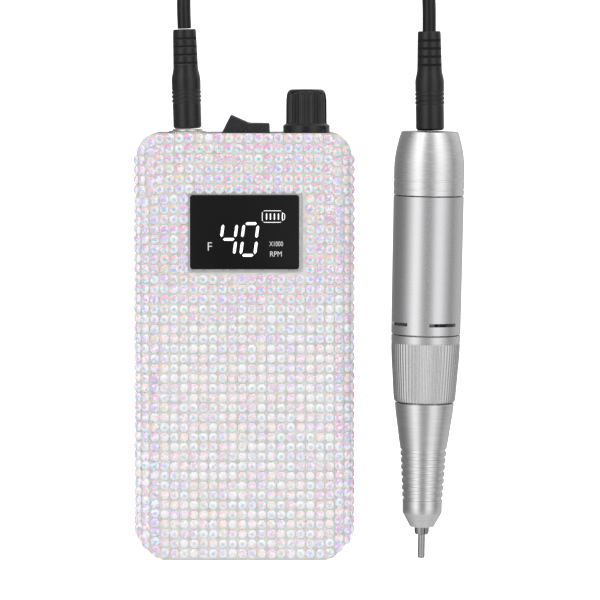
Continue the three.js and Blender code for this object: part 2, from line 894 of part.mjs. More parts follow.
// ---------------------------------------------------------------- motor
const MOTOR_START = 25.0;
const MOTOR_END = 57.0;
piece(
  hand,
  "motor_can",
  turnedBack(
    [
      [9.1, MOTOR_START],
      [9.9, MOTOR_START],
      [9.9, MOTOR_END],
      [3.2, MOTOR_END],
      [3.2, MOTOR_END - 0.8],
      [9.1, MOTOR_END - 0.8],
    ],
    24,
  ),
  STEEL,
);
piece(hand, "motor_end_cap", tube(9.9, 2.0, 22.2, MOTOR_START - 0.2, 24), BLACK_PLASTIC);
piece(hand, "motor_magnet", tube(8.8, 7.6, 30.0, 53.0, 24), FERRITE);
const BRUSH = { inner: 3.1, outer: 6.6, half: 1.0, start: 26.6, end: 29.2 };
piece(
  hand,
  "brush_left",
  block([-BRUSH.outer, -BRUSH.end, -BRUSH.half], [-BRUSH.inner, -BRUSH.start, BRUSH.half]),
  GRAPHITE,
);
piece(
  hand,
  "brush_right",
  block([BRUSH.inner, -BRUSH.end, -BRUSH.half], [BRUSH.outer, -BRUSH.start, BRUSH.half]),
  GRAPHITE,
);

// Rotor: slotted iron core on the shaft, copper end turns, commutator and driving dog.
const CORE = { r: 7.0, start: 31.5, end: 50.5, slots: 5 };
const coreSlots = Array.from({ length: CORE.slots }, (_, i) =>
  block([-0.6, -CORE.end - 1, 4.0], [0.6, -CORE.start + 1, 8.0]).rotateY(
    (i * Math.PI * 2) / CORE.slots,
  ),
);
const SHAFT_R = 1.5;
piece(
  hand,
  "armature_core",
  cut(tube(CORE.r, SHAFT_R + 0.1, CORE.start, CORE.end, COARSE), ...coreSlots),
  SPRING_STEEL,
);
const slotWires = Array.from({ length: CORE.slots }, (_, i) =>
  block([-0.3, -CORE.end - 1, 4.3], [0.3, -CORE.start + 1, 6.0]).rotateY(
    (i * Math.PI * 2) / CORE.slots,
  ),
);
piece(
  hand,
  "armature_winding",
  join(
    tube(6.2, 2.6, 30.0, CORE.start - 0.2, 20),
    tube(6.2, 2.6, CORE.end + 0.2, 52.6, 20),
    ...slotWires,
  ),
  COPPER,
);
piece(hand, "commutator", tube(2.8, SHAFT_R + 0.1, 26.0, 29.8, 16), COPPER);
piece(
  hand,
  "motor_shaft",
  turnedBack([[0, 22.4], [SHAFT_R, 22.4], [SHAFT_R, 60.6], [0, 60.6]], 12),
  STEEL,
);
const dogBody = turnedBack(
  [
    [SHAFT_R + 0.1, 58.0],
    [4.0, 58.0],
    [4.0, 61.8],
    [0, 61.8],
    [0, 61.0],
    [SHAFT_R + 0.1, 61.0],
  ],
  16,
);
const dogTongue = block([-3.4, -64.2, -0.9], [3.4, -61.4, 0.9]);
piece(hand, "drive_dog", join(dogBody, dogTongue), BRASS);

// ---------------------------------------------------------------- chuck
const SPINDLE_BORE_R = 2.65;
const spindleBarrel = turnedBack([
  [1.6, 62.2],
  [4.6, 62.2],
  [4.6, 66.2],
  [3.0, 66.4],
  [3.0, 105.0],
  [3.6, 105.5],
  [3.6, 128.6],
  [SPINDLE_BORE_R, 128.6],
  [SPINDLE_BORE_R, 109.0],
  [1.6, 108.4],
]);
const forkSlot = block([-6, -64.6, -1.2], [6, -61, 1.2]);
piece(hand, "spindle", cut(spindleBarrel, forkSlot), STEEL);
piece(hand, "rear_bearing", tube(6.3, 3.1, 67.0, 71.2, COARSE), STEEL);
piece(hand, "front_bearing", tube(5.8, 3.7, 113.6, 119.4, COARSE), STEEL);
piece(hand, "release_sleeve", tube(6.8, 3.5, 81.0, 87.0, COARSE), BRASS);

class SpringHelix extends THREE.Curve {
  constructor(radius, start, end, turns) {
    super();
    Object.assign(this, { radius, start, end, turns });
  }
  getPoint(t, target = new THREE.Vector3()) {
    const a = t * this.turns * Math.PI * 2;
    const s = this.start + (this.end - this.start) * t;
    return target.set(this.radius * Math.cos(a), -s, this.radius * Math.sin(a));
  }
}
piece(
  hand,
  "chuck_spring",
  swept(new SpringHelix(5.4, 72.6, 80.0, 4), 0.5, 6, 48),
  SPRING_STEEL,
);

const COLLET_BORE_R = 1.45;
const colletBlank = turnedBack(
  [
    [COLLET_BORE_R, 110.0],
    [2.3, 110.0],
    [2.3, 128.4],
    [2.4, 129.8],
    [2.4, 131.6],
    [2.1, COLLET_END],
    [COLLET_BORE_R, COLLET_END],
  ],
  24,
);
const slit = block([-4, -COLLET_END - 1, -0.25], [4, -118, 0.25]);
piece(hand, "collet", cut(colletBlank, slit, slit.clone().rotateY(Math.PI / 2)), STEEL);
piece(
  hand,
  "dummy_bit",
  turnedBack(
    [
      [0, 112.0],
      [SHANK_R, 112.0],
      [SHANK_R, TIP - 0.6],
      [SHANK_R - 0.35, TIP],
      [0, TIP],
    ],
    16,
  ),
  STEEL,
);

// ---------------------------------------------------------------- lead
// Two stretches run from the plugs to a coil on the table.
const boxLead = through([
  [-37.58, 96.3, 12.7],
  [-37.8, 101.0, 12.5],
  [-37.9, 106.0, 11.5],
  [-37.6, 112.0, 8.9],
  [-36.8, 118.0, 5.9],
  [-35.9, 123.0, 4.2],
  [-35.1, 127.0, 3.5],
]);
const handLead = through([
  [42.05, 95.7, 11.5],
  [42.08, 100.0, 11.4],
  [42.05, 106.0, 10.4],
  [41.8, 112.0, 8.5],
  [41.1, 118.0, 7.1],
  [40.1, 123.0, 6.8],
  [39.3, 127.0, 7.1],
]);
piece(drill, "lead_box_side", swept(boxLead, CORD_R, 10, 8), BLACK_RUBBER);
piece(drill, "lead_hand_side", swept(handLead, CORD_R, 10, 8), BLACK_RUBBER);
piece(
  drill,
  "lead_coil",
  turned(
    [
      [COIL.inner, 0],
      [COIL.outer, 0],
      [COIL.outer, COIL.high - COIL.low],
      [COIL.inner, COIL.high - COIL.low],
    ],
    40,
  )
    .rotateX(Math.PI / 2)
    .translate(COIL.x, COIL.y, COIL.low),
  BLACK_RUBBER,
);
// The strap clears the inner turns of the coil, which curve towards it.
const strap = { inner: COIL.inner - 1.1, outer: COIL.outer + 0.2 };
const strapWidth = strap.outer - strap.inner;
const strapHeight = COIL.high - COIL.low + 0.4;
const bandShape = roundedRect(strapWidth + 2 * TIE_THICK, strapHeight + 2 * TIE_THICK, 1.5);
bandShape.holes.push(roundedRect(strapWidth, strapHeight, 0.7));
const band = raised(bandShape, -TIE_WIDTH / 2, TIE_WIDTH / 2, 3);
band.rotateX(Math.PI / 2).rotateZ(Math.PI / 2);
band.translate(COIL.x, COIL.y + (strap.outer + strap.inner) / 2, (COIL.high + COIL.low) / 2);
piece(drill, "lead_tie", band, BLACK_RUBBER);

export default drill;
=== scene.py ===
import json
import math
import random

import bpy
import numpy as np
from mathutils import Matrix, Vector

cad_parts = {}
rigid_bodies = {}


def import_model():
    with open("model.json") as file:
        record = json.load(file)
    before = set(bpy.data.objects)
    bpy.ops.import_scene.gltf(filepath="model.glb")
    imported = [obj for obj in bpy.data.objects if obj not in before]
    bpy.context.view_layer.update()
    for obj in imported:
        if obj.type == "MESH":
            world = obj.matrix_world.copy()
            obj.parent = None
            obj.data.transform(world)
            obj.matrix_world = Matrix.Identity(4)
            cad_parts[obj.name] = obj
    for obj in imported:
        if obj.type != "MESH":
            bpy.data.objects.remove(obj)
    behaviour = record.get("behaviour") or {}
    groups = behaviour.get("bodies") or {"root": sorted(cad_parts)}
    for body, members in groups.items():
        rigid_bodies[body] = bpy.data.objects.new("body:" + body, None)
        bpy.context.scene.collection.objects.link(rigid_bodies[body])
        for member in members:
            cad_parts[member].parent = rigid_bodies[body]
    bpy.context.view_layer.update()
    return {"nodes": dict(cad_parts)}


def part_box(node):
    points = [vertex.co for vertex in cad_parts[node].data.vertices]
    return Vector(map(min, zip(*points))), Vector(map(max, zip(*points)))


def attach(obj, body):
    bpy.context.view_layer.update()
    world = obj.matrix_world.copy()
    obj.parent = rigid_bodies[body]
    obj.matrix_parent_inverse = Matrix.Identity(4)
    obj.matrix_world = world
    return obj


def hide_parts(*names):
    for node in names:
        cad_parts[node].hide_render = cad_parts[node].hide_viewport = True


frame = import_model()
MM = 0.001

# ---------------------------------------------------------------- the view
# Seen from straight above the set as it lies on a table, leaning a few degrees towards the end
# that carries the controls, from far enough away that round things keep their shape.
LEAN = math.radians(4.1)
DISTANCE = 1.3
AIM_Y, AIM_Z = 0.0076, 0.012
bpy.ops.object.camera_add(
    location=(0, AIM_Y + DISTANCE * math.sin(LEAN), AIM_Z + DISTANCE * math.cos(LEAN)),
    rotation=(-LEAN, 0, 0),
)
camera = bpy.context.object
camera.data.lens = 238.6
camera.data.sensor_width = 36
camera.data.clip_start = 0.05
bpy.context.scene.camera = camera
bpy.context.scene.view_settings.view_transform = "Standard"

# ---------------------------------------------------------------- the lead
# One length of round black PVC cord with a plug moulded on each end. A short stretch runs from
# each plug; the rest is wound into a flat coil of two layers, held by a strap.
CORD_WIDTH = 4.5
COIL_CENTRE = (2.1, 146.0)
COIL_FLOOR = 3.25  # height of the bottom layer's middle, over the strap
box_run = [
    (-37.58, 96.1, 12.70), (-37.70, 99.0, 12.65), (-37.78, 101.5, 12.40), (-37.82, 104.0, 12.00),
    (-37.80, 106.5, 11.35), (-37.72, 109.0, 10.30), (-37.55, 112.0, 8.85), (-37.25, 115.0, 7.30),
    (-36.80, 118.0, 5.85), (-36.20, 121.0, 4.70), (-35.50, 124.0, 3.95), (-34.70, 127.0, 3.50),
    (-33.80, 130.0, 3.30), (-32.85, 133.5, 3.25), (-31.90, 137.0, 3.25), (-31.00, 140.5, 3.25),
]
# Turns made, radius and height above the bottom layer: in along the bottom, up, and out on top.
wind_turns = [0, 3, 3.25, 3.5, 3.75, 4, 4.25, 4.5, 4.75, 5, 5.25, 5.5, 6, 6.25, 6.5]
wind_radius = [
    32.2, 18.7, 17.6, 17.0, 16.9, 17.5, 20.6, 21.1, 21.4, 22.0, 25.1, 25.6, 26.6, 29.7, 30.3
]
wind_rise = [0, 0, 1.1, 2.25, 3.4, 4.5, 4.5, 4.5, 4.5, 4.5, 4.5, 4.5, 4.5, 4.5, 4.5]
COIL_TURNS = 6.5
STEPS = 24  # points in each turn
wind = []
for i in range(int(COIL_TURNS * STEPS) + 1):
    turn = i / STEPS
    radius = float(np.interp(turn, wind_turns, wind_radius))
    angle = math.pi - 2 * math.pi * turn
    wind.append(
        (
            COIL_CENTRE[0] + radius * math.cos(angle),
            COIL_CENTRE[1] + radius * math.sin(angle),
            COIL_FLOOR + float(np.interp(turn, wind_turns, wind_rise)),
        )
    )
hand_run = [
    (33.30, 140.5, 7.55), (34.40, 137.0, 7.15), (35.60, 133.5, 6.80), (36.80, 130.0, 6.70),
    (37.95, 127.0, 6.75), (39.00, 124.0, 6.95), (39.95, 121.0, 7.30), (40.70, 118.0, 7.80),
    (41.25, 115.0, 8.40), (41.58, 112.0, 9.05), (41.80, 109.0, 9.75), (41.94, 106.5, 10.35),
    (42.02, 103.5, 10.85), (42.06, 100.9, 11.20), (42.06, 98.2, 11.42), (42.05, 95.2, 11.50),
]
route = box_run + wind + hand_run
path = bpy.data.curves.new("lead_cord", "CURVE")
path.dimensions = "3D"
path.resolution_u = 3
path.bevel_depth = CORD_WIDTH / 2 * MM
path.bevel_resolution = 4
path.use_fill_caps = True
spline = path.splines.new("NURBS")
spline.points.add(len(route) - 1)
for point, place in zip(spline.points, route):
    point.co = (place[0] * MM, place[1] * MM, place[2] * MM, 1)
spline.order_u = 4
spline.use_endpoint_u = True
cord = bpy.data.objects.new("lead_cord", path)
bpy.context.collection.objects.link(cord)


def new_material(name, colour, metallic, roughness, **sockets):
    """A material with its principled shader; further sockets by name, blanks as underscores."""
    made = bpy.data.materials.new(name)
    made.use_nodes = True
    shader = made.node_tree.nodes["Principled BSDF"]
    shader.inputs["Base Color"].default_value = (*colour, 1)
    shader.inputs["Metallic"].default_value = metallic
    shader.inputs["Roughness"].default_value = roughness
    for socket, value in sockets.items():
        shader.inputs[socket.replace("_", " ")].default_value = value
    return made


def grained(
    name, metallic, scale, dark, light, rough, bump,
    stretch=(1, 1, 1), heading=0, detail=3, **sockets
):
    """A material whose colour, roughness and surface vary with noise in the piece's own space."""
    colour = tuple((a + b) / 2 for a, b in zip(dark, light))
    made = new_material(name, colour, metallic, sum(rough) / 2, **sockets)
    tree = made.node_tree
    shader = tree.nodes["Principled BSDF"]
    place = tree.nodes.new("ShaderNodeTexCoord")
    turn = tree.nodes.new("ShaderNodeMapping")
    turn.inputs["Rotation"].default_value = (0, 0, heading)
    turn.inputs["Scale"].default_value = stretch
    noise = tree.nodes.new("ShaderNodeTexNoise")
    noise.inputs["Scale"].default_value = scale
    noise.inputs["Detail"].default_value = detail
    ramp = tree.nodes.new("ShaderNodeValToRGB")
    ramp.color_ramp.elements[0].position = 0.3
    ramp.color_ramp.elements[1].position = 0.7
    ramp.color_ramp.elements[0].color = (*dark, 1)
    ramp.color_ramp.elements[1].color = (*light, 1)
    spread = tree.nodes.new("ShaderNodeMapRange")
    spread.inputs["From Min"].default_value = 0.3
    spread.inputs["From Max"].default_value = 0.7
    spread.inputs["To Min"].default_value = rough[0]
    spread.inputs["To Max"].default_value = rough[1]
    relief = tree.nodes.new("ShaderNodeBump")
    relief.inputs["Strength"].default_value = bump[0]
    relief.inputs["Distance"].default_value = bump[1] * MM
    tree.links.new(place.outputs["Object"], turn.inputs["Vector"])
    tree.links.new(turn.outputs["Vector"], noise.inputs["Vector"])
    tree.links.new(noise.outputs["Fac"], ramp.inputs["Fac"])
    tree.links.new(ramp.outputs["Color"], shader.inputs["Base Color"])
    tree.links.new(noise.outputs["Fac"], spread.inputs["Value"])
    tree.links.new(spread.outputs["Result"], shader.inputs["Roughness"])
    tree.links.new(noise.outputs["Fac"], relief.inputs["Height"])
    tree.links.new(relief.outputs["Normal"], shader.inputs["Normal"])
    return made


cord_pvc = grained(
    "cord_pvc", 0, 900, (0.005, 0.005, 0.005), (0.008, 0.008, 0.008), (0.14, 0.22), (0.1, 0.01),
    Specular_IOR_Level=0.4,
)
cord.data.materials.append(cord_pvc)
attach(cord, "cord_set")
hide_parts("lead_box_side", "lead_hand_side", "lead_coil")


def choose(piece):
    """Makes one object the selected and active one."""
    if bpy.context.object and bpy.context.object.mode != "OBJECT":
        bpy.ops.object.mode_set(mode="OBJECT")
    bpy.ops.object.select_all(action="DESELECT")
    piece.select_set(True)
    bpy.context.view_layer.objects.active = piece


def settle(piece):
    """Puts the piece's place, turn and size into its mesh."""
    choose(piece)
    bpy.ops.object.transform_apply(location=True, rotation=True, scale=True)
    return piece


def block(name, low, high):
    """A cube primitive stretched between two corners, in millimetres."""
    bpy.ops.object.select_all(action="DESELECT")
    centre = [(a + b) / 2 * MM for a, b in zip(low, high)]
    bpy.ops.mesh.primitive_cube_add(size=1, location=centre)
    piece = bpy.context.object
    piece.name = piece.data.name = name
    piece.scale = [(b - a) * MM for a, b in zip(low, high)]
    return settle(piece)


def bevel_edges(piece, wanted, width, segments, profile=0.5):
    """Bevels the edges for which wanted(middle, direction) holds, middle in millimetres."""
    choose(piece)
    bpy.ops.object.mode_set(mode="EDIT")
    bpy.ops.mesh.select_mode(type="EDGE")
    bpy.ops.mesh.select_all(action="DESELECT")
    bpy.ops.object.mode_set(mode="OBJECT")
    points = piece.data.vertices
    for edge in piece.data.edges:
        a, b = (points[i].co for i in edge.vertices)
        edge.select = bool(wanted((a + b) / 2 / MM, (b - a).normalized()))
    bpy.ops.object.mode_set(mode="EDIT")
    bpy.ops.mesh.bevel(offset=width * MM, segments=segments, profile=profile, affect="EDGES")
    bpy.ops.object.mode_set(mode="OBJECT")
    return piece


def along(axis):
    """Picks the edges that run along one axis."""
    return lambda middle, direction: abs(getattr(direction, axis)) > 0.9


def modify(piece, kind, **settings):
    """Adds a modifier, sets it and applies it."""
    choose(piece)
    step = piece.modifiers.new(kind.lower(), kind)
    for setting, value in settings.items():
        setattr(step, setting, value)
    bpy.ops.object.modifier_apply(modifier=step.name)
    return piece


def cut_away(piece, *tools, how="DIFFERENCE"):
    """Takes tools out of a piece with exact booleans, and removes them."""
    for tool in tools:
        modify(piece, "BOOLEAN", operation=how, solver="EXACT", object=tool)
        bpy.data.objects.remove(tool)
    return piece


def soften(piece, width, segments=2, angle=35):
    """Breaks the sharp edges, then shades smooth up to that angle."""
    modify(
        piece,
        "BEVEL",
        width=width * MM,
        segments=segments,
        limit_method="ANGLE",
        angle_limit=math.radians(angle),
        use_clamp_overlap=True,
    )
    choose(piece)
    bpy.ops.object.shade_smooth_by_angle(angle=math.radians(40))
    return piece


def dress(piece, made, body, slot, *nodes):
    """Gives a finished piece its material and its body, and hides the nodes it stands for; the slot
    is not used.
    """
    piece.data.materials.clear()
    piece.data.materials.append(made)
    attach(piece, body)
    if nodes:
        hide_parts(*nodes)
    return piece


def recoat(made, *nodes):
    """A better material on a carried-over node."""
    for node in nodes:
        for slot in frame["nodes"][node].material_slots:
            slot.material = made


# The strap round the coil: a flat band of rubber.
strap_low, strap_high = (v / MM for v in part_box("lead_tie"))
strap = block("coil_strap", strap_low + Vector((0, 0, 0.2)), strap_high)
bevel_edges(strap, along("x"), 1.5, 5)
strap_wall = Vector((-1, 0.8, 0.8))
inner = block("strap_inside", strap_low + strap_wall, strap_high - strap_wall)
bevel_edges(inner, along("x"), 0.7, 4)
cut_away(strap, inner)
soften(strap, 0.2)
strap_rubber = grained(
    "strap_rubber", 0, 1500, (0.016, 0.016, 0.017), (0.03, 0.03, 0.031), (0.5, 0.7), (0.3, 0.03)
)
dress(strap, strap_rubber, "cord_set", "rubber_black", "lead_tie")

# ---------------------------------------------------------------- plugs
# Straight plug with a soft PVC body moulded on the cord: barrel, three grip ribs, shoulder, and a
# neck slotted four times from each side so that it bends. Its nickel-plated pin fills the socket.
BOX_FRAME = Vector((-18.12, -7.0, 0))  # middle of the box, on the table
HAND_FRAME = Vector((42.4, 62.7, 11.5))  # centre of the handpiece's rear face
HAND_HEADING = math.radians(-1.07)
PLUG_LEAN = math.radians(1.7)
CORE_Z = 12.7


def turned(name, profile, place, heading=0.0, sides=96):
    """A turned piece: points of (radius, distance) spun about the Y axis, then put in place."""
    bpy.ops.object.select_all(action="DESELECT")
    bpy.ops.mesh.primitive_plane_add(size=2 * MM)
    piece = bpy.context.object
    piece.name = piece.data.name = name
    bpy.ops.object.mode_set(mode="EDIT")
    bpy.ops.mesh.select_mode(type="VERT")
    bpy.ops.mesh.select_all(action="SELECT")
    bpy.ops.mesh.merge(type="CENTER")
    bpy.ops.transform.translate(value=(profile[0][0] * MM, profile[0][1] * MM, 0))
    for (r0, y0), (r1, y1) in zip(profile, profile[1:]):
        bpy.ops.mesh.extrude_vertices_move(
            TRANSFORM_OT_translate={"value": ((r1 - r0) * MM, (y1 - y0) * MM, 0)}
        )
    bpy.ops.mesh.select_all(action="SELECT")
    bpy.ops.mesh.spin(steps=sides, angle=2 * math.pi, center=(0, 0, 0), axis=(0, 1, 0))
    bpy.ops.mesh.select_all(action="SELECT")
    bpy.ops.mesh.remove_doubles(threshold=2e-6)
    bpy.ops.mesh.normals_make_consistent(inside=False)
    bpy.ops.object.mode_set(mode="OBJECT")
    piece.location = Vector(place) * MM
    piece.rotation_euler = (0, 0, heading)
    settle(piece)
    bpy.ops.object.shade_smooth_by_angle(angle=math.radians(32))
    return piece


def rounded(profile, radius, steps=3):
    """The same profile with each inside corner rounded by about that radius."""
    made = [profile[0]]
    for before, here, after in zip(profile, profile[1:], profile[2:]):
        a, b, c = Vector(before), Vector(here), Vector(after)
        back, on = a - b, c - b
        reach = min(radius, back.length * 0.45, on.length * 0.45)
        if reach < 0.01 or abs(back.angle(on) - math.pi) < 0.06:
            made.append(here)
            continue
        first, last = b + back.normalized() * reach, b + on.normalized() * reach
        for i in range(steps + 1):
            t = i / steps
            spot = first * (1 - t) ** 2 + b * 2 * t * (1 - t) + last * t**2
            made.append((spot.x, spot.y))
    return made + [profile[-1]]


def boot_profile():
    """Radius and distance from the plug's face, up to where the cord comes out."""
    barrel = [(0, 0), (4.1, 0), (4.6, 0.6), (4.6, 8.0), (4.52, 8.15)]
    ribs = []
    for y in (9.0, 10.4, 11.8):
        ribs += [(4.52, y - 0.55), (4.78, y - 0.36), (4.78, y + 0.36), (4.52, y + 0.55)]
    shoulder = [(4.7, 12.7), (4.72, 15.8), (4.6, 16.9), (4.2, 18.6), (4.05, 19.6)]
    return barrel + ribs + shoulder + [(3.78, 31.7), (3.6, 32.25), (0, 32.3)]


def neck_slots(plug, face, heading):
    """Cuts the four pairs of slots that let the neck bend, and leaves a web between them."""
    half_web, half_slot, clear = 0.9, 0.38, 5.0
    tools = []
    for y in (21.3, 24.0, 26.65, 29.25):
        for low, high in ((half_web, clear), (-clear, -half_web)):
            tool = block("neck_slot", (-clear, y - half_slot, low), (clear, y + half_slot, high))
            tool.location = Vector(face) * MM
            tool.rotation_euler = (0, 0, heading)
            tools.append(settle(tool))
    cut_away(plug, *tools)
    bpy.ops.object.shade_smooth_by_angle(angle=math.radians(32))


plug_pvc = grained(
    "plug_pvc", 0, 700, (0.007, 0.007, 0.0075), (0.012, 0.012, 0.013), (0.14, 0.22), (0.1, 0.01),
    Specular_IOR_Level=0.5,
)
hand_axis = Matrix.Rotation(HAND_HEADING, 3, "Z")
for node, place, heading in (
    ("box_plug", BOX_FRAME + Vector((-18.5, 70.7, CORE_Z)), PLUG_LEAN),
    ("hand_plug", HAND_FRAME + hand_axis @ Vector((0, 0.35, 0)), HAND_HEADING + PLUG_LEAN),
):
    plug = turned(node + "_body", rounded(boot_profile(), 0.25), place, heading, 72)
    neck_slots(plug, place, heading)
    dress(plug, plug_pvc, "cord_set", "rubber_black", node)
pin_nickel = grained(
    "pin_nickel", 1, 500, (0.66, 0.65, 0.62), (0.76, 0.75, 0.72), (0.14, 0.24), (0.1, 0.01),
    (0.2, 8, 0.2),
)
recoat(pin_nickel, "box_plug_pin", "hand_plug_pin")

# ---------------------------------------------------------------- case
# Two moulded shells, white under a clear coat, that meet half-way up the sides. The front one has
# softly rounded long edges; both are open at the ends, where the end panels sit.
HALF_WIDTH, HALF_LENGTH = 34.65, 69.4
CORNER, FRONT_EDGE, BACK_EDGE = 7.5, 6.0, 5.0
END_CORNER, END_FLATNESS = 8.0, 0.33  # the flatter corners at the charging end
WALL = 1.8
CONTROL_OPENING, CHARGING_OPENING, OPENING_HALF_HEIGHT = 56.2, 48.8, 8.7
BACK_FACE, FRONT_FACE, PARTING = 1.2, 24.1, 11.55


def case_form(name, grow, low, high, edge, top):
    """A slab with rounded corners in plan and rounded long edges at its top or bottom."""
    w, l = HALF_WIDTH + grow, HALF_LENGTH + grow
    x, y, _ = BOX_FRAME
    slab = block(name, (x - w, y - l, low), (x + w, y + l, high))
    level = high if top else low
    bevel_edges(slab, lambda m, d: abs(d.y) > 0.9 and abs(m.z - level) < 0.01, edge + grow, 10)
    plan = block(name + "_plan", (x - w, y - l, low - 1), (x + w, y + l, high + 1))
    bevel_edges(plan, lambda m, d: abs(d.z) > 0.9 and m.y > y, CORNER + grow, 14)
    reach = END_CORNER + grow / 2
    bevel_edges(plan, lambda m, d: abs(d.z) > 0.9 and m.y < y, reach, 10, END_FLATNESS)
    return cut_away(slab, plan, how="INTERSECT")


def end_openings():
    """Two tools that open the case's ends for the control panel and the charging panel."""
    x, y, z = BOX_FRAME + Vector((0, 0, CORE_Z))
    tools = []
    for side, width in ((1, CONTROL_OPENING), (-1, CHARGING_OPENING)):
        reach = [y + side * (HALF_LENGTH - 3.2), y + side * (HALF_LENGTH + 2)]
        low = (x - width / 2, min(reach), z - OPENING_HALF_HEIGHT)
        tool = block("opening", low, (x + width / 2, max(reach), z + OPENING_HALF_HEIGHT))
        tools.append(bevel_edges(tool, along("y"), 1.2, 5))
    return tools


def pane(name, low, high, corner, segments=5):
    """A block with round corners, its ends measured from the display's middle."""
    made = block(name, window_centre + Vector(low), window_centre + Vector(high))
    return bevel_edges(made, along("z"), corner, segments)


def post(x, y, z, radius, depth, vertices, **turn):
    """A cylinder at a place measured from the middle of the box."""
    bpy.ops.object.select_all(action="DESELECT")
    bpy.ops.mesh.primitive_cylinder_add(
        vertices=vertices,
        radius=radius * MM,
        depth=depth * MM,
        location=(BOX_FRAME + Vector((x, y, z))) * MM,
        **turn,
    )
    return settle(bpy.context.object)


window_centre = BOX_FRAME + Vector((0.18, 37.5, 0))
TOOL_LOW, TOOL_HIGH = 20, 27  # heights between which the window tools cut
front = case_form("front_case", 0, PARTING + 0.15, FRONT_FACE, FRONT_EDGE, True)
hollow = case_form("front_hollow", -WALL, PARTING - 3, FRONT_FACE - WALL, FRONT_EDGE, True)
window = pane("window", (-18.05, -12.32, TOOL_LOW), (18.05, 12.32, TOOL_HIGH), 1.0)
cut_away(front, hollow, window, *end_openings())
soften(front, 0.3)
back = case_form("back_case", 0, BACK_FACE, PARTING - 0.15, BACK_EDGE, False)
hollow = case_form("back_hollow", -WALL, BACK_FACE + 2, PARTING + 3, BACK_EDGE, False)
screw_spots = [(-30.3, -60), (30.3, -60), (-30.3, 60), (30.3, 60)]
screw_wells = [post(x, y, BACK_FACE, 2.9, 2.4, 32) for x, y in screw_spots]
cut_away(back, hollow, *end_openings(), *screw_wells)
soften(back, 0.3)
case_white = grained(
    "case_white", 0, 260, (0.58, 0.565, 0.575), (0.66, 0.645, 0.655), (0.26, 0.36), (0.08, 0.02),
    Coat_Weight=0.6, Coat_Roughness=0.06,
)
dress(front, case_white, "control_box", "case_white", "front_shell")
dress(back, case_white, "control_box", "case_white", "back_shell")

# Case screws: countersunk cross-head, zinc plated, flush in their wells in the back.
screw_zinc = grained(
    "screw_zinc", 1, 900, (0.48, 0.49, 0.51), (0.62, 0.63, 0.65), (0.24, 0.4), (0.2, 0.01)
)
for i, (x, y) in enumerate(screw_spots, 1):
    place = BOX_FRAME + Vector((x, y, 0))
    head = post(x, y, 1.8, 2.6, 1.0, 40)
    head.name = head.data.name = f"screw_head_{i}"
    arms = [
        block("slot", place + Vector((-a, -b, 1)), place + Vector((a, b, 1.85)))
        for a, b in ((1.5, 0.28), (0.28, 1.5))
    ]
    cut_away(head, *arms)
    soften(head, 0.15)
    cut_away(head, post(x, y, 8.0, 1.0, 11.4, 24), how="UNION")
    dress(head, screw_zinc, "control_box", "steel", f"case_screw_{i}")

# Feet: moulded rubber discs stuck to the back, with a rounded rim.
foot_rubber = grained(
    "foot_rubber", 0, 1200, (0.014, 0.014, 0.015), (0.026, 0.026, 0.027), (0.55, 0.75), (0.4, 0.03)
)
for i, (x, y) in enumerate([(-24, -51), (24, -51), (-24, 51), (24, 51)], 1):
    foot = post(x, y, 0.6, 5, 1.15, 64)
    foot.name = foot.data.name = f"foot_pad_{i}"
    bevel_edges(foot, lambda m, d: m.z < 0.1 and abs(d.z) < 0.1, 0.4, 4)
    soften(foot, 0.05)
    dress(foot, foot_rubber, "control_box", "rubber_black", f"rubber_foot_{i}")

# ---------------------------------------------------------------- stones
# Flat-backed glass rhinestones with an iridescent coat, glued in straight rows on a pale resin bed
# over the front, round the long edges and down the sides.
BED = 0.32  # thickness of the resin
BED_HALF_LENGTH = 68.9
bed = case_form("stone_bed", BED, PARTING + 0.4, FRONT_FACE + BED, FRONT_EDGE, True)
x, y, _ = BOX_FRAME
w = HALF_WIDTH + 0.02
inside = block("bed_inside", (x - w, y - 80, 5), (x + w, y + 80, FRONT_FACE + 0.02))
bevel_edges(inside, lambda m, d: abs(d.y) > 0.9 and m.z > 20, FRONT_EDGE, 10)
ends = block("bed_ends", (x - 40, y - BED_HALF_LENGTH, 5), (x + 40, y + BED_HALF_LENGTH, 30))
bevel_edges(ends, along("z"), 1.0, 3)
cut_away(bed, ends, how="INTERSECT")
opening = pane("bed_window", (-18.95, -13.2, TOOL_LOW), (18.95, 13.2, TOOL_HIGH), 1.6)
cut_away(bed, inside, opening)
bpy.ops.object.shade_smooth_by_angle(angle=math.radians(40))
resin = grained(
    "stone_resin", 0, 420, (0.58, 0.60, 0.55), (0.80, 0.82, 0.77), (0.25, 0.5), (0.4, 0.1),
    Coat_Weight=0.3,
)
dress(bed, resin, "control_box", "stone")

# One stone: girdle, a ring of long facets, a ring of short ones, and a flat table on top.
STONE_R, SIDES = 1.65, 8
CROWN = 0.42  # height of the long facets, above which the stone turns by half a side
bpy.ops.object.select_all(action="DESELECT")
bpy.ops.mesh.primitive_circle_add(vertices=SIDES, radius=STONE_R * MM, fill_type="NGON")
stone = bpy.context.object
bpy.ops.object.mode_set(mode="EDIT")
bpy.ops.mesh.select_mode(type="FACE")
bpy.ops.mesh.select_all(action="SELECT")
for rise, shrink in ((0.22, 1.0), (CROWN, 0.78), (0.34, 0.45)):
    bpy.ops.mesh.extrude_region_move(TRANSFORM_OT_translate={"value": (0, 0, rise * MM)})
    bpy.ops.transform.resize(value=(shrink, shrink, 1), center_override=(0, 0, 0))
    if rise == CROWN:
        bpy.ops.transform.rotate(
            value=math.pi / SIDES, orient_axis="Z", center_override=(0, 0, 0)
        )
bpy.ops.mesh.select_all(action="SELECT")
bpy.ops.mesh.normals_make_consistent(inside=False)
bpy.ops.object.mode_set(mode="OBJECT")
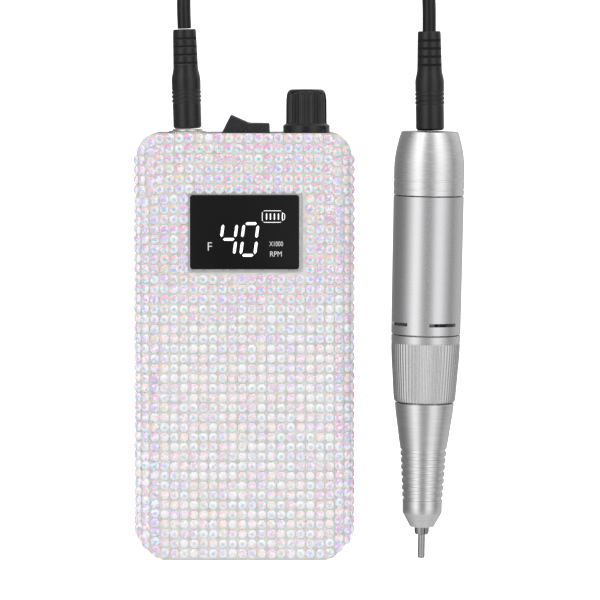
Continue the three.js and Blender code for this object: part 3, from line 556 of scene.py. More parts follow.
# Corners and facets are listed by their place, so that every run colours them alike.
listed = sorted(stone.data.vertices, key=lambda v: [round(v.co[i] / MM * 1000) for i in (2, 0, 1)])
rank = {v.index: i for i, v in enumerate(listed)}
points = np.array([v.co for v in listed], float)
faces = []
for facet in stone.data.polygons:
    ring = [rank[i] for i in facet.vertices]
    first = ring.index(min(ring))
    ring = ring[first:] + ring[:first]
    across = [math.dist(points[ring[i]], points[ring[i + 2]]) for i in (0, 1) if len(ring) == 4]
    if across and across[1] < across[0] - 0.01 * MM:
        ring = ring[1:] + ring[:1]
    faces += [(ring[0], *pair) for pair in zip(ring[1:], ring[2:])]
faces.sort()
facing = np.array([np.cross(points[b] - points[a], points[c] - points[a]) for a, b, c in faces])
facing /= np.linalg.norm(facing, axis=1)[:, None]
bpy.data.objects.remove(stone)

# Where the stones sit: columns across the front and round the long edges, rows along the case.
ROWS, FIRST_ROW = 43, 67.8
pitches = [3.28 - 0.136 * j / (ROWS - 2) for j in range(ROWS - 1)]
row_y = [FIRST_ROW - sum(pitches[:j]) for j in range(ROWS)]
# Below the display's top edge the columns close up a little and start further from the left side.
UPPER_ROWS = range(0, 6)
LOWER_ROWS = range(6, ROWS)
columns = []  # (x, z, turn about Y, bend of the end rows, rows left out at each end, rows)
arc = FRONT_EDGE + 0.3
CORNER_REACH, CORNER_POWER = 8.2, 1.55


def corner_stop(x):
    """How far the case's round corner makes a column stop short of the end rows."""
    across = min(1.0, max(0.0, 1 - (HALF_WIDTH - abs(x)) / CORNER_REACH))
    short = 0.88 * CORNER_REACH * (1 - (1 - across**CORNER_POWER) ** (1 / CORNER_POWER))
    rows_out, bend = divmod(short, row_y[0] - row_y[1])
    return bend, int(rows_out)


for rows, first, pitch, edges in (
    (UPPER_ROWS, -27.27, 3.208, ((13, 43, 73), (13, 43, 73))),
    (LOWER_ROWS, -25.83, 3.152, ((3, 32, 61, 88), (20, 49, 78))),
):
    for k in range(18):
        bend = 0.3 if k in (0, 17) else 0.0
        columns.append((first + k * pitch, FRONT_FACE + 0.3, 0.0, bend, 0, rows))
    for side, angles in zip((-1, 1), edges):
        for angle in angles:
            a = math.radians(angle)
            x = HALF_WIDTH - FRONT_EDGE + arc * math.sin(a)
            z = FRONT_FACE - FRONT_EDGE + arc * math.cos(a)
            columns.append((side * x, z, side * a, *corner_stop(x), rows))
        for drop in (1.95, 5.15):
            z = min(16.9, FRONT_FACE - FRONT_EDGE + arc * math.cos(a)) - drop + 1.6
            x = HALF_WIDTH + 0.3
            columns.append((side * x, z, side * math.pi / 2, *corner_stop(x), rows))
dice = random.Random(7)


def srgb(r, g, b):
    """Linear colour from display values of 0 to 255."""
    return tuple(
        (c / 255 / 12.92 if c / 255 <= 0.04045 else ((c / 255 + 0.055) / 1.055) ** 2.4)
        for c in (r, g, b)
    )


# The coat's play of colour is painted into each facet's base colour as painted reflections: pinks
# on upper facets that face up the case and to the left, where they catch the light, cyan on most
# tables, and creams and lilacs elsewhere.
PINKS = [srgb(252, 168, 216), srgb(255, 184, 204), srgb(255, 206, 188), srgb(232, 190, 250)]
CYANS = [srgb(146, 226, 242), srgb(160, 214, 250), srgb(176, 240, 228), srgb(190, 214, 252)]
CREAMS = [srgb(254, 252, 250), srgb(244, 251, 246), srgb(254, 250, 244), srgb(250, 246, 253)]
LILACS = [srgb(247, 236, 250), srgb(240, 241, 253), srgb(252, 240, 245), srgb(246, 249, 246)]
HALF_GAP_X, GAP_FOOT, GAP_HEAD = 19.35, -14.0, 13.7  # where the display keeps the stones out
gap = window_centre - BOX_FRAME
WOBBLE = 0.05  # how unevenly the stones are set, in radians


def painted_facet_reflection(normal, middle, pink, vivid, edge):
    """The painted reflection that one facet throws back, set as its colour by the side of the stone
    it is on.
    """
    lean_to = (normal[1] - 0.6 * normal[0]) / max(1e-6, math.hypot(normal[0], normal[1]))
    arc_lit = lean_to > 0.2 or dice.random() < 0.2
    if normal[2] > 0.97:
        return middle
    if normal[2] < 0.15:
        return CREAMS[1]
    if normal[2] > 0.75 and arc_lit and dice.random() < (0.85 if vivid else 0.12):
        return pink
    if normal[2] < 0.75 and lean_to > 0.8 and dice.random() < (0.4 if vivid else 0.03):
        return pink
    if edge and dice.random() < 0.3:
        return dice.choice(PINKS[3:] + CYANS[1:2] + LILACS)
    return dice.choice(CREAMS if dice.random() < 0.6 else LILACS)


corners, painted_reflections = [], []
for x, z, turn, bend, skip, rows in columns:
    for j in rows:
        y = row_y[j]
        from_end = min(j, ROWS - 1 - j)
        if from_end < skip:
            continue
        if abs(x - gap.x) < HALF_GAP_X and GAP_FOOT < y - gap.y < GAP_HEAD:
            continue
        inward = bend * max(0.0, 1 - (from_end - skip) / 10)
        y_here = y - inward if j < ROWS / 2 else y + inward
        tilt = Matrix.Rotation(turn, 3, "Y") @ Matrix.Rotation(dice.gauss(0, WOBBLE), 3, "X")
        tilt = tilt @ Matrix.Rotation(dice.gauss(0, WOBBLE), 3, "Y")
        spin = math.pi / SIDES + dice.gauss(0, WOBBLE)
        whole = np.array(tilt @ Matrix.Rotation(spin, 3, "Z"))
        size = dice.gauss(1.0, 0.01)
        place = np.array(
            [
                BOX_FRAME.x + x + dice.gauss(0, 0.03) * math.cos(turn),
                BOX_FRAME.y + y_here + dice.gauss(0, 0.03),
                z,
            ]
        )
        corners.append((points * size) @ whole.T + place * MM)
        # The painted reflections are most colourful in the upper third, and on the long edges more
        # so than the rest.
        turned_by = np.array(Matrix.Rotation(spin, 3, "Z"))
        upper = min(1.0, max(0.0, (y + 5) / 30))
        edge = abs(x) > 28
        vivid = dice.random() < (0.95 if upper > 0.6 else 0.8 if edge else 0.6)
        faint = 0.35 * (1 - upper) if not edge else 0.1
        pink, cyan = (
            tuple(c + (0.95 - c) * faint for c in dice.choice(group)) for group in (PINKS, CYANS)
        )
        middle = cyan if dice.random() < 0.55 + 0.4 * upper else dice.choice(CREAMS)
        for normal in facing @ turned_by.T:
            shade = painted_facet_reflection(normal, middle, pink, vivid, edge)
            glow = dice.uniform(0.93, 1.04)
            painted_reflections.append([min(1.0, c * glow) for c in shade])
mesh = bpy.data.meshes.new("rhinestones")
all_faces = [
    tuple(i * len(points) + v for v in face) for i in range(len(corners)) for face in faces
]
mesh.from_pydata(np.concatenate(corners).tolist(), [], all_faces)
mesh.update()
painted_reflection_layer = mesh.attributes.new("stone_painted_reflection", "FLOAT_COLOR", "FACE")
painted_reflection_layer.data.foreach_set("color", np.array([[*c, 1.0] for c in painted_reflections], np.float32).ravel())
stones = bpy.data.objects.new("rhinestones", mesh)
bpy.context.collection.objects.link(stones)
# Glass whose base colour is each facet's painted reflection, read from the attribute.
stone_glass = new_material(
    "stone_glass",
    (0.9, 0.85, 0.92),
    0.0,
    0.12,
    Specular_IOR_Level=0.8,
    Coat_Weight=1.0,
    Coat_Roughness=0.03,
)
tree = stone_glass.node_tree
shader = tree.nodes["Principled BSDF"]
colour = tree.nodes.new("ShaderNodeAttribute")
colour.attribute_name = "stone_painted_reflection"
tree.links.new(colour.outputs["Color"], shader.inputs["Base Color"])
dress(stones, stone_glass, "control_box", "stone", "rhinestone_cover")

# ---------------------------------------------------------------- display
# A smoked acrylic window in a thin silver surround, flush with the stones. The figures light up
# white behind it: speed in thousands of turns a minute, turning direction and battery charge.
LENS_TOP = FRONT_FACE + 0.5
surround_low, surround_high = (-18.0, -12.6, FRONT_FACE + 0.05), (18.3, 12.35, FRONT_FACE + 0.6)
surround = pane("display_surround", surround_low, surround_high, 1.3, 6)
hole = pane("surround_hole", (-17.7, -12.1, TOOL_LOW), (17.7, 12.1, TOOL_HIGH), 1.0)
cut_away(surround, hole)
soften(surround, 0.15)
surround_silver = grained(
    "surround_silver", 0.9, 500, (0.6, 0.61, 0.62), (0.72, 0.73, 0.74), (0.22, 0.36), (0.1, 0.01)
)
dress(surround, surround_silver, "control_box", "panel_silver", "display_frame")
lens = pane("display_window", (-17.55, -11.95, FRONT_FACE - 1.1), (17.55, 11.95, LENS_TOP), 0.8)
soften(lens, 0.12)
smoked = grained(
    "smoked_acrylic", 0, 60, (0.0045, 0.0045, 0.0050), (0.0055, 0.0055, 0.0060), (0.18, 0.24),
    (0.02, 0.01), Specular_IOR_Level=0.22,
)
dress(lens, smoked, "control_box", "lens_black", "display_lens")

SLANT = 0.135  # how far the figures lean, as a share of their height
glyphs = []


def bar(x, y, width, height, bevel=0.0):
    """A lit bar on the window, centred x, y from its middle."""
    low = window_centre + Vector((x - width / 2, y - height / 2, LENS_TOP + 0.01))
    piece = block("bar", low, low + Vector((width, height, 0.03)))
    if bevel:
        bevel_edges(piece, along("z"), bevel, 1)
    glyphs.append(piece)
    return piece


def lean(piece, y):
    """Slides the top of a bar sideways and its foot the other way."""
    for v in piece.data.vertices:
        v.co.x += (v.co.y - (window_centre.y + y) * MM) * SLANT


def gather(pieces, name, made):
    """Joins lit pieces into one and makes them glow through the window."""
    choose(pieces[0])
    for piece in pieces:
        piece.select_set(True)
    bpy.ops.object.join()
    joined = bpy.context.object
    joined.name = joined.data.name = name
    shader = made.node_tree.nodes["Principled BSDF"]
    shader.inputs["Emission Color"].default_value = (1, 1, 1, 1)
    return dress(joined, made, "control_box", "lens_black")


THICK, TALL, WIDE = 0.86, 3.95, 3.65
four = [(-7.18, 0.43, 0), (-2.74, 0.38, 0), (-5.10, -2.33, 1), (-3.12, -5.04, 0)]
nought = [
    (2.14, 2.76, 1), (-0.46, 0.38, 0), (4.09, 0.16, 0), (-0.95, -5.04, 0), (3.60, -5.04, 0),
    (1.06, -7.48, 1),
]
for x, y, flat in four + nought:
    w, h = (WIDE, THICK) if flat else (THICK, TALL)
    lean(bar(x, y, w, h, 0.45), y)
# Battery: outline, contact and four bars.
line = 0.15
for x, y, w, h, corner in ((9.0, 5.04, 6.67, 3.9, 0.7), (12.6, 4.99, 0.95, 2.25, 0.35)):
    outline = bar(x, y, w, h, corner)
    low = window_centre + Vector((x - w / 2 + line, y - h / 2 + line, LENS_TOP - 1))
    inside = block("bar_inside", low, low + Vector((w - 2 * line, h - 2 * line, 3)))
    bevel_edges(inside, along("z"), corner - 0.12, 2)
    cut_away(outline, inside)
for x in (7.13, 8.38, 9.67, 10.98):
    bar(x, 5.04, 0.32, 1.95)
CAPITAL = 0.69  # height of a capital letter, as a share of the type size
labels = []
for words, x, y, height, stretch in (
    ("F", -12.2, -6.05, 2.8, 0.95),
    ("X1000", 8.0, -4.55, 1.55, 0.74),
    ("RPM", 8.1, -7.9, 1.7, 0.88),
):
    bpy.ops.object.select_all(action="DESELECT")
    bpy.ops.object.text_add()
    label = bpy.context.object
    label.data.body = words
    label.data.size = height / CAPITAL * MM
    label.data.extrude = 0.00001
    label.data.offset = -0.00004 if words == "F" else -0.000012
    label.scale.x = stretch
    bpy.ops.object.convert(target="MESH")
    label.location = (window_centre + Vector((x, y, LENS_TOP + 0.02))) * MM
    labels.append(settle(label))
lit = new_material("lit_white", (0.9, 0.9, 0.9), 0, 0.5, Emission_Strength=1.0)
gather(glyphs, "display_figures", lit)
half_lit = new_material("half_lit_white", (0.4, 0.4, 0.4), 0, 0.5, Emission_Strength=0.42)
gather(labels, "display_legend", half_lit)
module_black = grained(
    "module_black", 0, 300, (0.025, 0.025, 0.027), (0.038, 0.038, 0.04), (0.45, 0.6), (0.2, 0.02)
)
recoat(module_black, "display_module", "battery_tray")
board_green = grained(
    "board_green", 0, 240, (0.010, 0.07, 0.035), (0.02, 0.13, 0.07), (0.3, 0.5), (0.3, 0.03),
    (1, 6, 1),
)
recoat(board_green, "control_board")
cell_wrap = grained(
    "cell_wrap", 0, 150, (0.04, 0.18, 0.38), (0.06, 0.24, 0.46), (0.28, 0.42), (0.1, 0.02)
)
recoat(cell_wrap, "battery_cell_1", "battery_cell_2")

# ---------------------------------------------------------------- end panels
# Silver-painted plates set just behind the openings in the ends. One carries the controls, the
# other the charging socket, a stamped steel shell with its contact tongue.
PANEL_FACE = HALF_LENGTH - 2.3
panel_paint = grained(
    "panel_paint", 0.6, 600, (0.46, 0.47, 0.48), (0.55, 0.56, 0.57), (0.3, 0.42), (0.15, 0.02)
)


def end_panel(name, side, half):
    """A plate behind the opening of one end, reaching past it all round."""
    x, y, _ = BOX_FRAME
    reach = [y + side * (PANEL_FACE - 1.6), y + side * PANEL_FACE]
    plate = block(name, (x - half, min(reach), CORE_Z - 9.3), (x + half, max(reach), CORE_Z + 9.3))
    return bevel_edges(plate, along("y"), 1.5, 5)


def round_hole(x, z, radius):
    return post(x, PANEL_FACE, z, radius, 8, 64, rotation=(math.pi / 2, 0, 0))


JACK_X, ROCKER_X, KNOB_X = -18.5, 0.7, 20.2
panel = end_panel("control_panel", 1, 28.5)
switch_hole = block(
    "switch_hole",
    BOX_FRAME + Vector((ROCKER_X - 10, 60, CORE_Z - 7)),
    BOX_FRAME + Vector((ROCKER_X + 10, 75, CORE_Z + 7)),
)
cut_away(panel, round_hole(JACK_X, CORE_Z, 4.2), round_hole(KNOB_X, CORE_Z, 3.9), switch_hole)
soften(panel, 0.15)
dress(panel, panel_paint, "control_box", "panel_silver", "control_end_panel")

panel = end_panel("charging_panel", -1, 24.8)
port_y = BOX_FRAME.y - HALF_LENGTH + 0.6


def port_block(name, half_w, half_h, near, far, corner):
    """A block with round edges in the charging socket's place, depths from the socket's mouth."""
    x = BOX_FRAME.x
    made = block(
        name,
        (x - half_w, port_y + near, CORE_Z - half_h),
        (x + half_w, port_y + far, CORE_Z + half_h),
    )
    return bevel_edges(made, along("y"), corner, 6)


cut_away(panel, port_block("port_hole", 4.8, 1.95, -1, 8, 1.8))
soften(panel, 0.15)
dress(panel, panel_paint, "control_box", "panel_silver", "charging_end_panel")
socket = port_block("charging_port", 4.5, 1.65, 0, 7.4, 1.5)
cut_away(socket, port_block("port_mouth", 4.15, 1.3, -1, 6.4, 1.15))
tongue = port_block("port_tongue", 3.2, 0.35, 1, 6.9, 0.2)
cut_away(socket, tongue, how="UNION")
soften(socket, 0.08)
dress(socket, screw_zinc, "control_box", "steel", "charging_socket")

# ---------------------------------------------------------------- output jack
# Panel jack: a plastic body behind the panel, its bush through it, and a knurled nickel nut.
jack_place = BOX_FRAME + Vector((JACK_X, 0, CORE_Z))
jack_black = grained(
    "jack_black", 0, 400, (0.016, 0.016, 0.016), (0.026, 0.026, 0.026), (0.35, 0.5), (0.2, 0.02)
)
bush = turned(
    "jack_bush",
    rounded(
        [
            (0, 53), (5.2, 53), (5.2, 65.2), (3.9, 65.2), (3.9, 70.3), (2.1, 70.3), (2.1, 55),
            (0, 55),
        ],
        0.2,
    ),
    jack_place,
    0,
    64,
)
dress(bush, jack_black, "control_box", "plastic_black", "output_jack_body")


def flute(piece, place, heading, count, inner, wanted):
    """Presses grooves along a turned piece: the points nearest each one move in to that share."""
    back = Matrix.Rotation(-heading, 3, "Z")
    choose(piece)
    bpy.ops.object.mode_set(mode="EDIT")
    bpy.ops.mesh.select_mode(type="VERT")
    bpy.ops.mesh.select_all(action="DESELECT")
    bpy.ops.object.mode_set(mode="OBJECT")
    for v in piece.data.vertices:
        spot = back @ (v.co / MM - Vector(place))
        radius = math.hypot(spot.x, spot.z)
        step = (math.atan2(spot.z, spot.x) / (2 * math.pi) * count) % 1.0
        v.select = bool(wanted(radius, spot.y) and min(step, 1 - step) < 0.22)
        if v.select:
            spot.x *= inner
            spot.z *= inner
            v.co = (Matrix.Rotation(heading, 3, "Z") @ spot + Vector(place)) * MM
    return piece


nut = turned(
    "jack_nut",
    rounded(
        [
            (4.1, 67.2), (6.2, 67.2), (6.2, 69.6), (5.9, 69.85), (4.95, 69.9), (4.9, 70.45),
            (4.5, 70.5), (4.1, 70.4), (4.1, 67.2),
        ],
        0.12,
    ),
    jack_place,
    0,
    40 * 4,
)
flute(nut, jack_place, 0, 40, 0.955, lambda r, s: r > 5.6)
nut_nickel = grained(
    "nut_nickel", 1, 500, (0.66, 0.64, 0.58), (0.8, 0.78, 0.72), (0.15, 0.28), (0.1, 0.01)
)
dress(nut, nut_nickel, "control_box", "nickel", "output_jack_nut")

# ---------------------------------------------------------------- rocker switch
# Black nylon snap-in rocker: a housing through the panel and a see-saw button with two slopes.
x, y, z = BOX_FRAME + Vector((ROCKER_X, 68.3, CORE_Z))
housing = block("switch_housing", (x - 9.7, y - 14, z - 6.7), (x + 9.7, y, z + 6.7))
bezel = block("switch_bezel", (x - 10.5, y - 0.9, z - 7.5), (x + 10.5, y + 0.6, z + 7.5))
bevel_edges(bezel, along("y"), 0.8, 4)
cut_away(housing, bezel, how="UNION")
cut_away(housing, block("switch_well", (x - 9.1, y - 12, z - 5.9), (x + 9.1, y + 3, z + 5.9)))
soften(housing, 0.2)
switch_nylon = grained(
    "switch_nylon", 0, 900, (0.014, 0.014, 0.016), (0.019, 0.019, 0.021), (0.22, 0.3), (0.1, 0.01)
)
dress(housing, switch_nylon, "control_box", "plastic_black", "rocker_housing")

outline = [
    (-8.2, -1.2), (-7.6, -2.8), (-4.2, -5.0), (4.2, -5.0), (7.6, -2.8), (8.2, -1.2), (6.45, 5.65),
    (0, 4.3), (-6.45, 5.65),
]
bpy.ops.object.select_all(action="DESELECT")
bpy.ops.mesh.primitive_circle_add(vertices=len(outline), fill_type="NGON")
button = bpy.context.object
button.name = button.data.name = "switch_button"
for v, spot in zip(button.data.vertices, outline):
    v.co = (spot[0] * MM, spot[1] * MM, -5.5 * MM)
bpy.ops.object.mode_set(mode="EDIT")
bpy.ops.mesh.select_all(action="SELECT")
bpy.ops.mesh.extrude_region_move(TRANSFORM_OT_translate={"value": (0, 0, 11 * MM)})
bpy.ops.mesh.select_all(action="SELECT")
bpy.ops.mesh.normals_make_consistent(inside=False)
bpy.ops.object.mode_set(mode="OBJECT")
button.rotation_euler = (0, 0, math.radians(-12.3))
button.location = Vector((x, y, z)) * MM
settle(button)
soften(button, 0.55, 4, 20)
dress(button, switch_nylon, "rocker", "plastic_black", "rocker_button")

# ---------------------------------------------------------------- speed knob
# Push-on knob of black ABS with a plain flange and ribs all round, on the shaft of the speed pot.
knob_place = BOX_FRAME + Vector((KNOB_X, 0, CORE_Z))
RIBS = 18
knob = turned(
    "knob_cap",
    rounded(
        [
            (0, 83.0), (4.4, 83.05), (4.75, 83.4), (5.2, 83.4), (5.85, 82.95), (6.35, 82.0),
            (6.62, 80.2), (6.68, 72.4), (6.9, 72.1), (7.35, 71.9), (7.6, 71.6), (7.6, 69.4),
            (7.3, 69.0), (5.4, 69.0), (5.4, 71.2), (3.0, 71.2), (3.0, 80.85), (0, 80.85),
        ],
        0.25,
        2,
    ),
    knob_place,
    0,
    RIBS * 6,
)
flute(knob, knob_place, 0, RIBS, 0.89, lambda r, s: 6.3 < r < 6.75 and 72.2 < s < 82.5)
knob_abs = grained(
    "knob_abs", 0, 500, (0.006, 0.006, 0.007), (0.010, 0.010, 0.011), (0.12, 0.18), (0.05, 0.01)
)
dress(knob, knob_abs, "speed_knob", "knob_black", "speed_knob")
pot_steel = grained(
    "pot_steel", 1, 700, (0.52, 0.53, 0.54), (0.66, 0.67, 0.68), (0.24, 0.38), (0.1, 0.01)
)
recoat(pot_steel, "speed_pot_body", "speed_pot_nut", "speed_pot_shaft")

# ---------------------------------------------------------------- handpiece
# Everything of the handpiece is turned about one axis; distances run from its rear face to the tip.


def hand_turned(name, profile, sides=128):
    return turned(name, [(r, -s) for s, r in profile], HAND_FRAME, HAND_HEADING, sides)


def round_metal(name, colour, scale, spread, relief, coarse=1.0, speckle=0.06):
    """Metal turned about the handpiece's axis, its grain drawn out round it."""
    dark = tuple(c * (1 - speckle) for c in colour)
    light = tuple(min(1.0, c * (1 + speckle)) for c in colour)
    stretch = (coarse, 1, coarse)
    return grained(name, 1, scale, dark, light, spread, relief, stretch, -HAND_HEADING, 4)


blasted = round_metal(
    "blasted_aluminium", (0.76, 0.76, 0.765), 2200, (0.22, 0.30), (0.1, 0.01), 1.0, 0.04,
)
satin = round_metal("satin_aluminium", (0.84, 0.84, 0.84), 2500, (0.2, 0.28), (0.1, 0.01), 0.15)
ribbed = round_metal(
    "ribbed_aluminium", (0.76, 0.76, 0.76), 1500, (0.26, 0.32), (0.03, 0.01), 1.0, 0.03,
)
polished = round_metal("polished_steel", (0.80, 0.80, 0.80), 3000, (0.17, 0.24), (0.04, 0.01), 0.05)
collet_steel = round_metal("collet_steel", (0.42, 0.42, 0.43), 1500, (0.25, 0.35), (0.1, 0.01))
shank_steel = round_metal("shank_steel", (0.50, 0.50, 0.51), 1500, (0.2, 0.3), (0.1, 0.01), 0.1)

# Rear cap: turned aluminium, polished satin, with two fine lines and an opening for the plug.
cap = hand_turned(
    "rear_cap_shell",
    [
        (2.2, 4.95), (0.5, 4.95), (0.0, 5.3), (0.0, 8.95), (0.15, 9.25), (0.5, 9.42), (2.0, 9.88),
        (4.0, 10.4), (6.0, 10.83), (8.0, 11.17), (10.0, 11.38), (11.9, 11.48), (15.5, 11.5),
        (15.62, 11.36), (16.1, 11.36), (16.22, 11.5), (18.45, 11.5), (18.57, 11.36),
        (19.0, 11.36), (19.12, 11.5), (20.6, 11.48), (20.75, 11.3), (20.75, 10.3), (10.0, 10.3),
        (3.0, 8.6), (2.2, 4.95),
    ],
)
dress(cap, satin, "handpiece", "aluminium_satin", "rear_cap")
recoat(jack_black, "rear_socket")

# Motor sleeve: a bead-blasted tube with four vent slots near its front end.
sleeve = hand_turned(
    "motor_sleeve_tube",
    [
        (21.0, 10.4), (21.0, 11.3), (21.1, 11.48), (40.0, 11.44), (56.0, 11.38), (66.0, 11.32),
        (66.15, 11.18), (66.15, 10.4), (21.0, 10.4),
    ],
)
slots = []
for i in range(4):
    centre = math.radians(67.6) + i * math.pi / 2
    ring = [(62.15, 9.6), (62.15, 12.6), (63.25, 12.6), (63.25, 9.6)]
    bpy.ops.object.select_all(action="DESELECT")
    bpy.ops.mesh.primitive_plane_add(size=2 * MM)
    tool = bpy.context.object
    for v, (s, r) in zip(tool.data.vertices, (ring[0], ring[1], ring[3], ring[2])):
        v.co = (r * MM, -s * MM, 0)
    bpy.ops.object.mode_set(mode="EDIT")
    bpy.ops.mesh.select_all(action="SELECT")
    bpy.ops.transform.rotate(
        value=math.radians(-26) - centre, orient_axis="Y", center_override=(0, 0, 0)
    )
    bpy.ops.mesh.spin(steps=24, angle=math.radians(-52), center=(0, 0, 0), axis=(0, 1, 0))
    bpy.ops.mesh.select_all(action="SELECT")
    bpy.ops.mesh.normals_make_consistent(inside=False)
    bpy.ops.object.mode_set(mode="OBJECT")
    tool.location = HAND_FRAME * MM
    tool.rotation_euler = (0, 0, HAND_HEADING)
    slots.append(settle(tool))
cut_away(sleeve, *slots)
bpy.ops.object.shade_smooth_by_angle(angle=math.radians(32))
dress(sleeve, blasted, "handpiece", "aluminium_satin", "motor_sleeve")

# Twist ring: a plain band, a groove, then fine straight ribs down to a rounded edge.
RING_RIBS = 64
ring = hand_turned(
    "twist_ring_grip",
    [
        (66.5, 9.2), (66.5, 11.1), (66.65, 11.28), (68.85, 11.25), (68.95, 11.1), (69.15, 11.1),
        (69.25, 11.22), (71.0, 11.2), (75.0, 11.0), (79.0, 10.7), (83.0, 10.42), (86.6, 10.15),
        (87.8, 10.0), (88.3, 9.8), (88.5, 9.45), (88.5, 9.2), (66.5, 9.2),
    ],
    RING_RIBS * 4,
)
flute(
    ring,
    HAND_FRAME,
    HAND_HEADING,
    RING_RIBS,
    0.965,
    lambda r, s: r > 9.9 and -88.0 < s < -69.2,
)
dress(ring, ribbed, "twist_ring", "aluminium_satin", "twist_ring")

# Nose cone: polished steel with rings cut round the grip and a steep chamfer at its mouth.
nose_profile = [
    (88.85, 8.4), (88.85, 9.55), (89.0, 9.68), (92.6, 9.3), (96.6, 8.68), (100.5, 8.15),
    (103.3, 7.68),
]
for i in range(8):
    s = 103.9 + i * 2.255
    land = 7.6 - i * 0.142
    nose_profile += [
        (s, land),
        (s + 0.08, land - 0.34),
        (s + 0.5, land - 0.42),
        (s + 0.92, land - 0.34),
        (s + 1.05, land - 0.06),
        (s + 2.05, land - 0.1),
    ]
nose_profile += [
    (122.6, 6.47), (124.95, 6.44), (125.2, 6.3), (129.0, 4.25), (129.45, 4.0), (129.75, 3.6),
    (129.8, 2.9), (129.0, 2.9), (128.9, 3.95), (120.0, 3.95), (119.9, 6.0), (106.0, 6.0),
    (92.0, 8.4), (88.85, 8.4),
]
nose = hand_turned("nose_cone_shell", nose_profile)
dress(nose, polished, "handpiece", "steel_polished", "nose_cone")

# Collet: spring steel, split crosswise so that it grips; and the plain end of the bit in it.
jaws = hand_turned(
    "collet_jaws",
    [
        (110.0, 1.45), (110.0, 2.3), (128.4, 2.3), (129.8, 2.42), (131.2, 2.36), (132.0, 2.2),
        (132.2, 1.9), (132.2, 1.45), (110.0, 1.45),
    ],
    64,
)
for turn in (0, math.pi / 2):
    slit = block("slit", (-4, -134, -0.22), (4, -118, 0.22))
    slit.rotation_euler = (0, turn + 0.35, 0)
    settle(slit)
    slit.location = HAND_FRAME * MM
    slit.rotation_euler = (0, 0, HAND_HEADING)
    settle(slit)
    cut_away(jaws, slit)
bpy.ops.object.shade_smooth_by_angle(angle=math.radians(32))
dress(jaws, collet_steel, "collet", "steel", "collet")
shank = hand_turned(
    "bit_shank",
    [
        (112.0, 0), (112.0, 1.0), (112.2, 1.175), (139.5, 1.175), (140.0, 0.98), (140.1, 0.8),
        (140.1, 0),
    ],
    48,
)
dress(shank, shank_steel, "bit", "steel_polished", "dummy_bit")

# Inside: motor, chuck and bearings.
works_steel = round_metal("works_steel", (0.55, 0.56, 0.57), 900, (0.24, 0.38), (0.1, 0.01))
recoat(works_steel, "chuck_body", "motor_can", "motor_shaft", "spindle", "rear_bearing")
recoat(works_steel, "front_bearing", "chuck_spring", "armature_core")
copper = round_metal("copper_wire", (0.55, 0.22, 0.10), 900, (0.3, 0.42), (0.3, 0.03))
recoat(copper, "armature_winding", "commutator")
brass = round_metal("turned_brass", (0.62, 0.44, 0.16), 900, (0.22, 0.34), (0.1, 0.01))
recoat(brass, "drive_dog", "release_sleeve")
carbon = grained(
    "pressed_carbon", 0.1, 800, (0.022, 0.022, 0.023), (0.045, 0.045, 0.046), (0.6, 0.8),
    (0.3, 0.03),
)
recoat(carbon, "brush_left", "brush_right", "motor_magnet", "motor_end_cap")

# ---------------------------------------------------------------- floor and light
# A white table under one large softbox. The bright and dark bands that the metal mirrors are in
# the studio round it, which is even towards the front.
bpy.ops.object.select_all(action="DESELECT")
bpy.ops.mesh.primitive_plane_add(size=6, location=(0, 0, 0))
floor = bpy.context.object
floor.name = floor.data.name = "table_top"
table_white = new_material("table_white", (0.93, 0.93, 0.93), 0, 0.9, Specular_IOR_Level=0.1)
table_shader = table_white.node_tree.nodes["Principled BSDF"]
table_shader.inputs["Emission Color"].default_value = (1, 1, 1, 1)
table_shader.inputs["Emission Strength"].default_value = 1.0
floor.data.materials.append(table_white)
floor.visible_glossy = False
# White paper far behind everything, which neither lights the set nor shows in the metal.
bpy.ops.object.select_all(action="DESELECT")
bpy.ops.mesh.primitive_ico_sphere_add(subdivisions=4, radius=8)
paper = bpy.context.object
paper.name = paper.data.name = "backdrop_paper"
paper.data.materials.append(table_white)
paper.visible_diffuse = False
paper.visible_glossy = False
paper.visible_shadow = False
paper.visible_transmission = False
paper.visible_volume_scatter = False

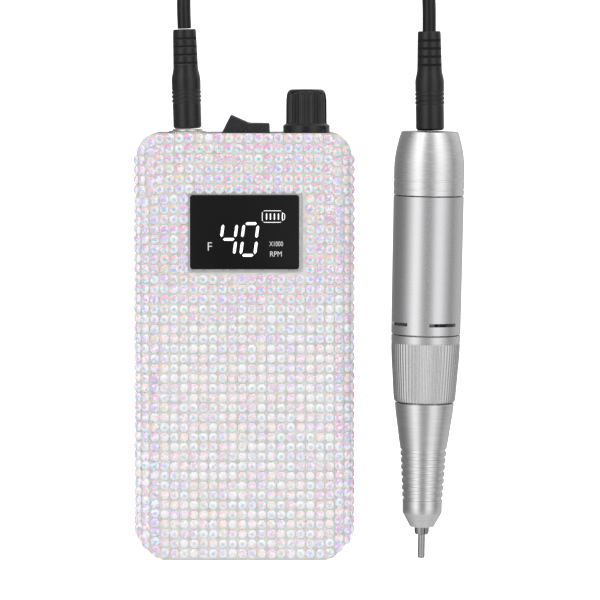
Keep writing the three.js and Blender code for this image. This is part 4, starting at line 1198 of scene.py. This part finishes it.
light = bpy.data.lights.new("overhead_softbox", "AREA")
light.shape = "RECTANGLE"
light.size, light.size_y = 1.2, 1.2
light.energy = 6.0
overhead = bpy.data.objects.new("overhead_softbox", light)
bpy.context.collection.objects.link(overhead)
overhead.location = (0.0, 0.3, 1.6)
overhead.rotation_euler = (-overhead.location).to_track_quat("-Z", "Y").to_euler()
overhead.visible_glossy = False
world = bpy.data.worlds.new("studio")
bpy.context.scene.world = world
world.use_nodes = True
tree = world.node_tree
backdrop = tree.nodes["Background"]
where = tree.nodes.new("ShaderNodeTexCoord")
apart = tree.nodes.new("ShaderNodeSeparateXYZ")
around = tree.nodes.new("ShaderNodeMath")
around.operation = "ARCTAN2"
shift = tree.nodes.new("ShaderNodeMapRange")
shift.inputs["From Min"].default_value = -math.pi
shift.inputs["From Max"].default_value = math.pi
# Degrees from straight up, left negative, and how bright the studio is there.
panels = tree.nodes.new("ShaderNodeValToRGB")
bands = [
    (-180, 0.24), (-128, 0.14), (-100, 0.15), (-82, 0.22), (-62, 0.48), (-46, 0.80), (-32, 0.80),
    (-16, 0.36), (-2, 0.24), (12, 0.34), (28, 0.70), (44, 0.72), (62, 0.44), (84, 0.22),
    (104, 0.34), (135, 0.42), (180, 0.24),
]
stops = panels.color_ramp.elements
while len(stops) < len(bands):
    stops.new(0.5)
for stop, (degrees, level) in zip(stops, bands):
    stop.position = (degrees + 180) / 360
    stop.color = (level, level, level * 1.01, 1)
ends = tree.nodes.new("ShaderNodeMapRange")
ends.inputs["From Min"].default_value = -0.25
ends.inputs["From Max"].default_value = -0.9
even = tree.nodes.new("ShaderNodeMix")
even.data_type = "RGBA"
even.inputs[7].default_value = (0.46, 0.46, 0.465, 1)
lift = tree.nodes.new("ShaderNodeMapRange")
lift.inputs["From Min"].default_value = -0.2
lift.inputs["From Max"].default_value = 0.7
lift.inputs["To Min"].default_value = 1.35
lift.inputs["To Max"].default_value = 1.9
for source, target in (
    (where.outputs["Generated"], apart.inputs["Vector"]),
    (apart.outputs["X"], around.inputs[0]),
    (apart.outputs["Z"], around.inputs[1]),
    (around.outputs["Value"], shift.inputs["Value"]),
    (shift.outputs["Result"], panels.inputs["Fac"]),
    (apart.outputs["Y"], ends.inputs["Value"]),
    (ends.outputs["Result"], even.inputs[0]),
    (panels.outputs["Color"], even.inputs[6]),
    (even.outputs[2], backdrop.inputs["Color"]),
    (apart.outputs["Y"], lift.inputs["Value"]),
    (lift.outputs["Result"], backdrop.inputs["Strength"]),
):
    tree.links.new(source, target)

# The bright metal beside the box mirrors the studio only.
BESIDE = 0.025  # between the box and the handpiece
for piece in bpy.context.scene.objects:
    if piece.type == "MESH" and max(corner[0] for corner in piece.bound_box) < BESIDE:
        piece.visible_glossy = False
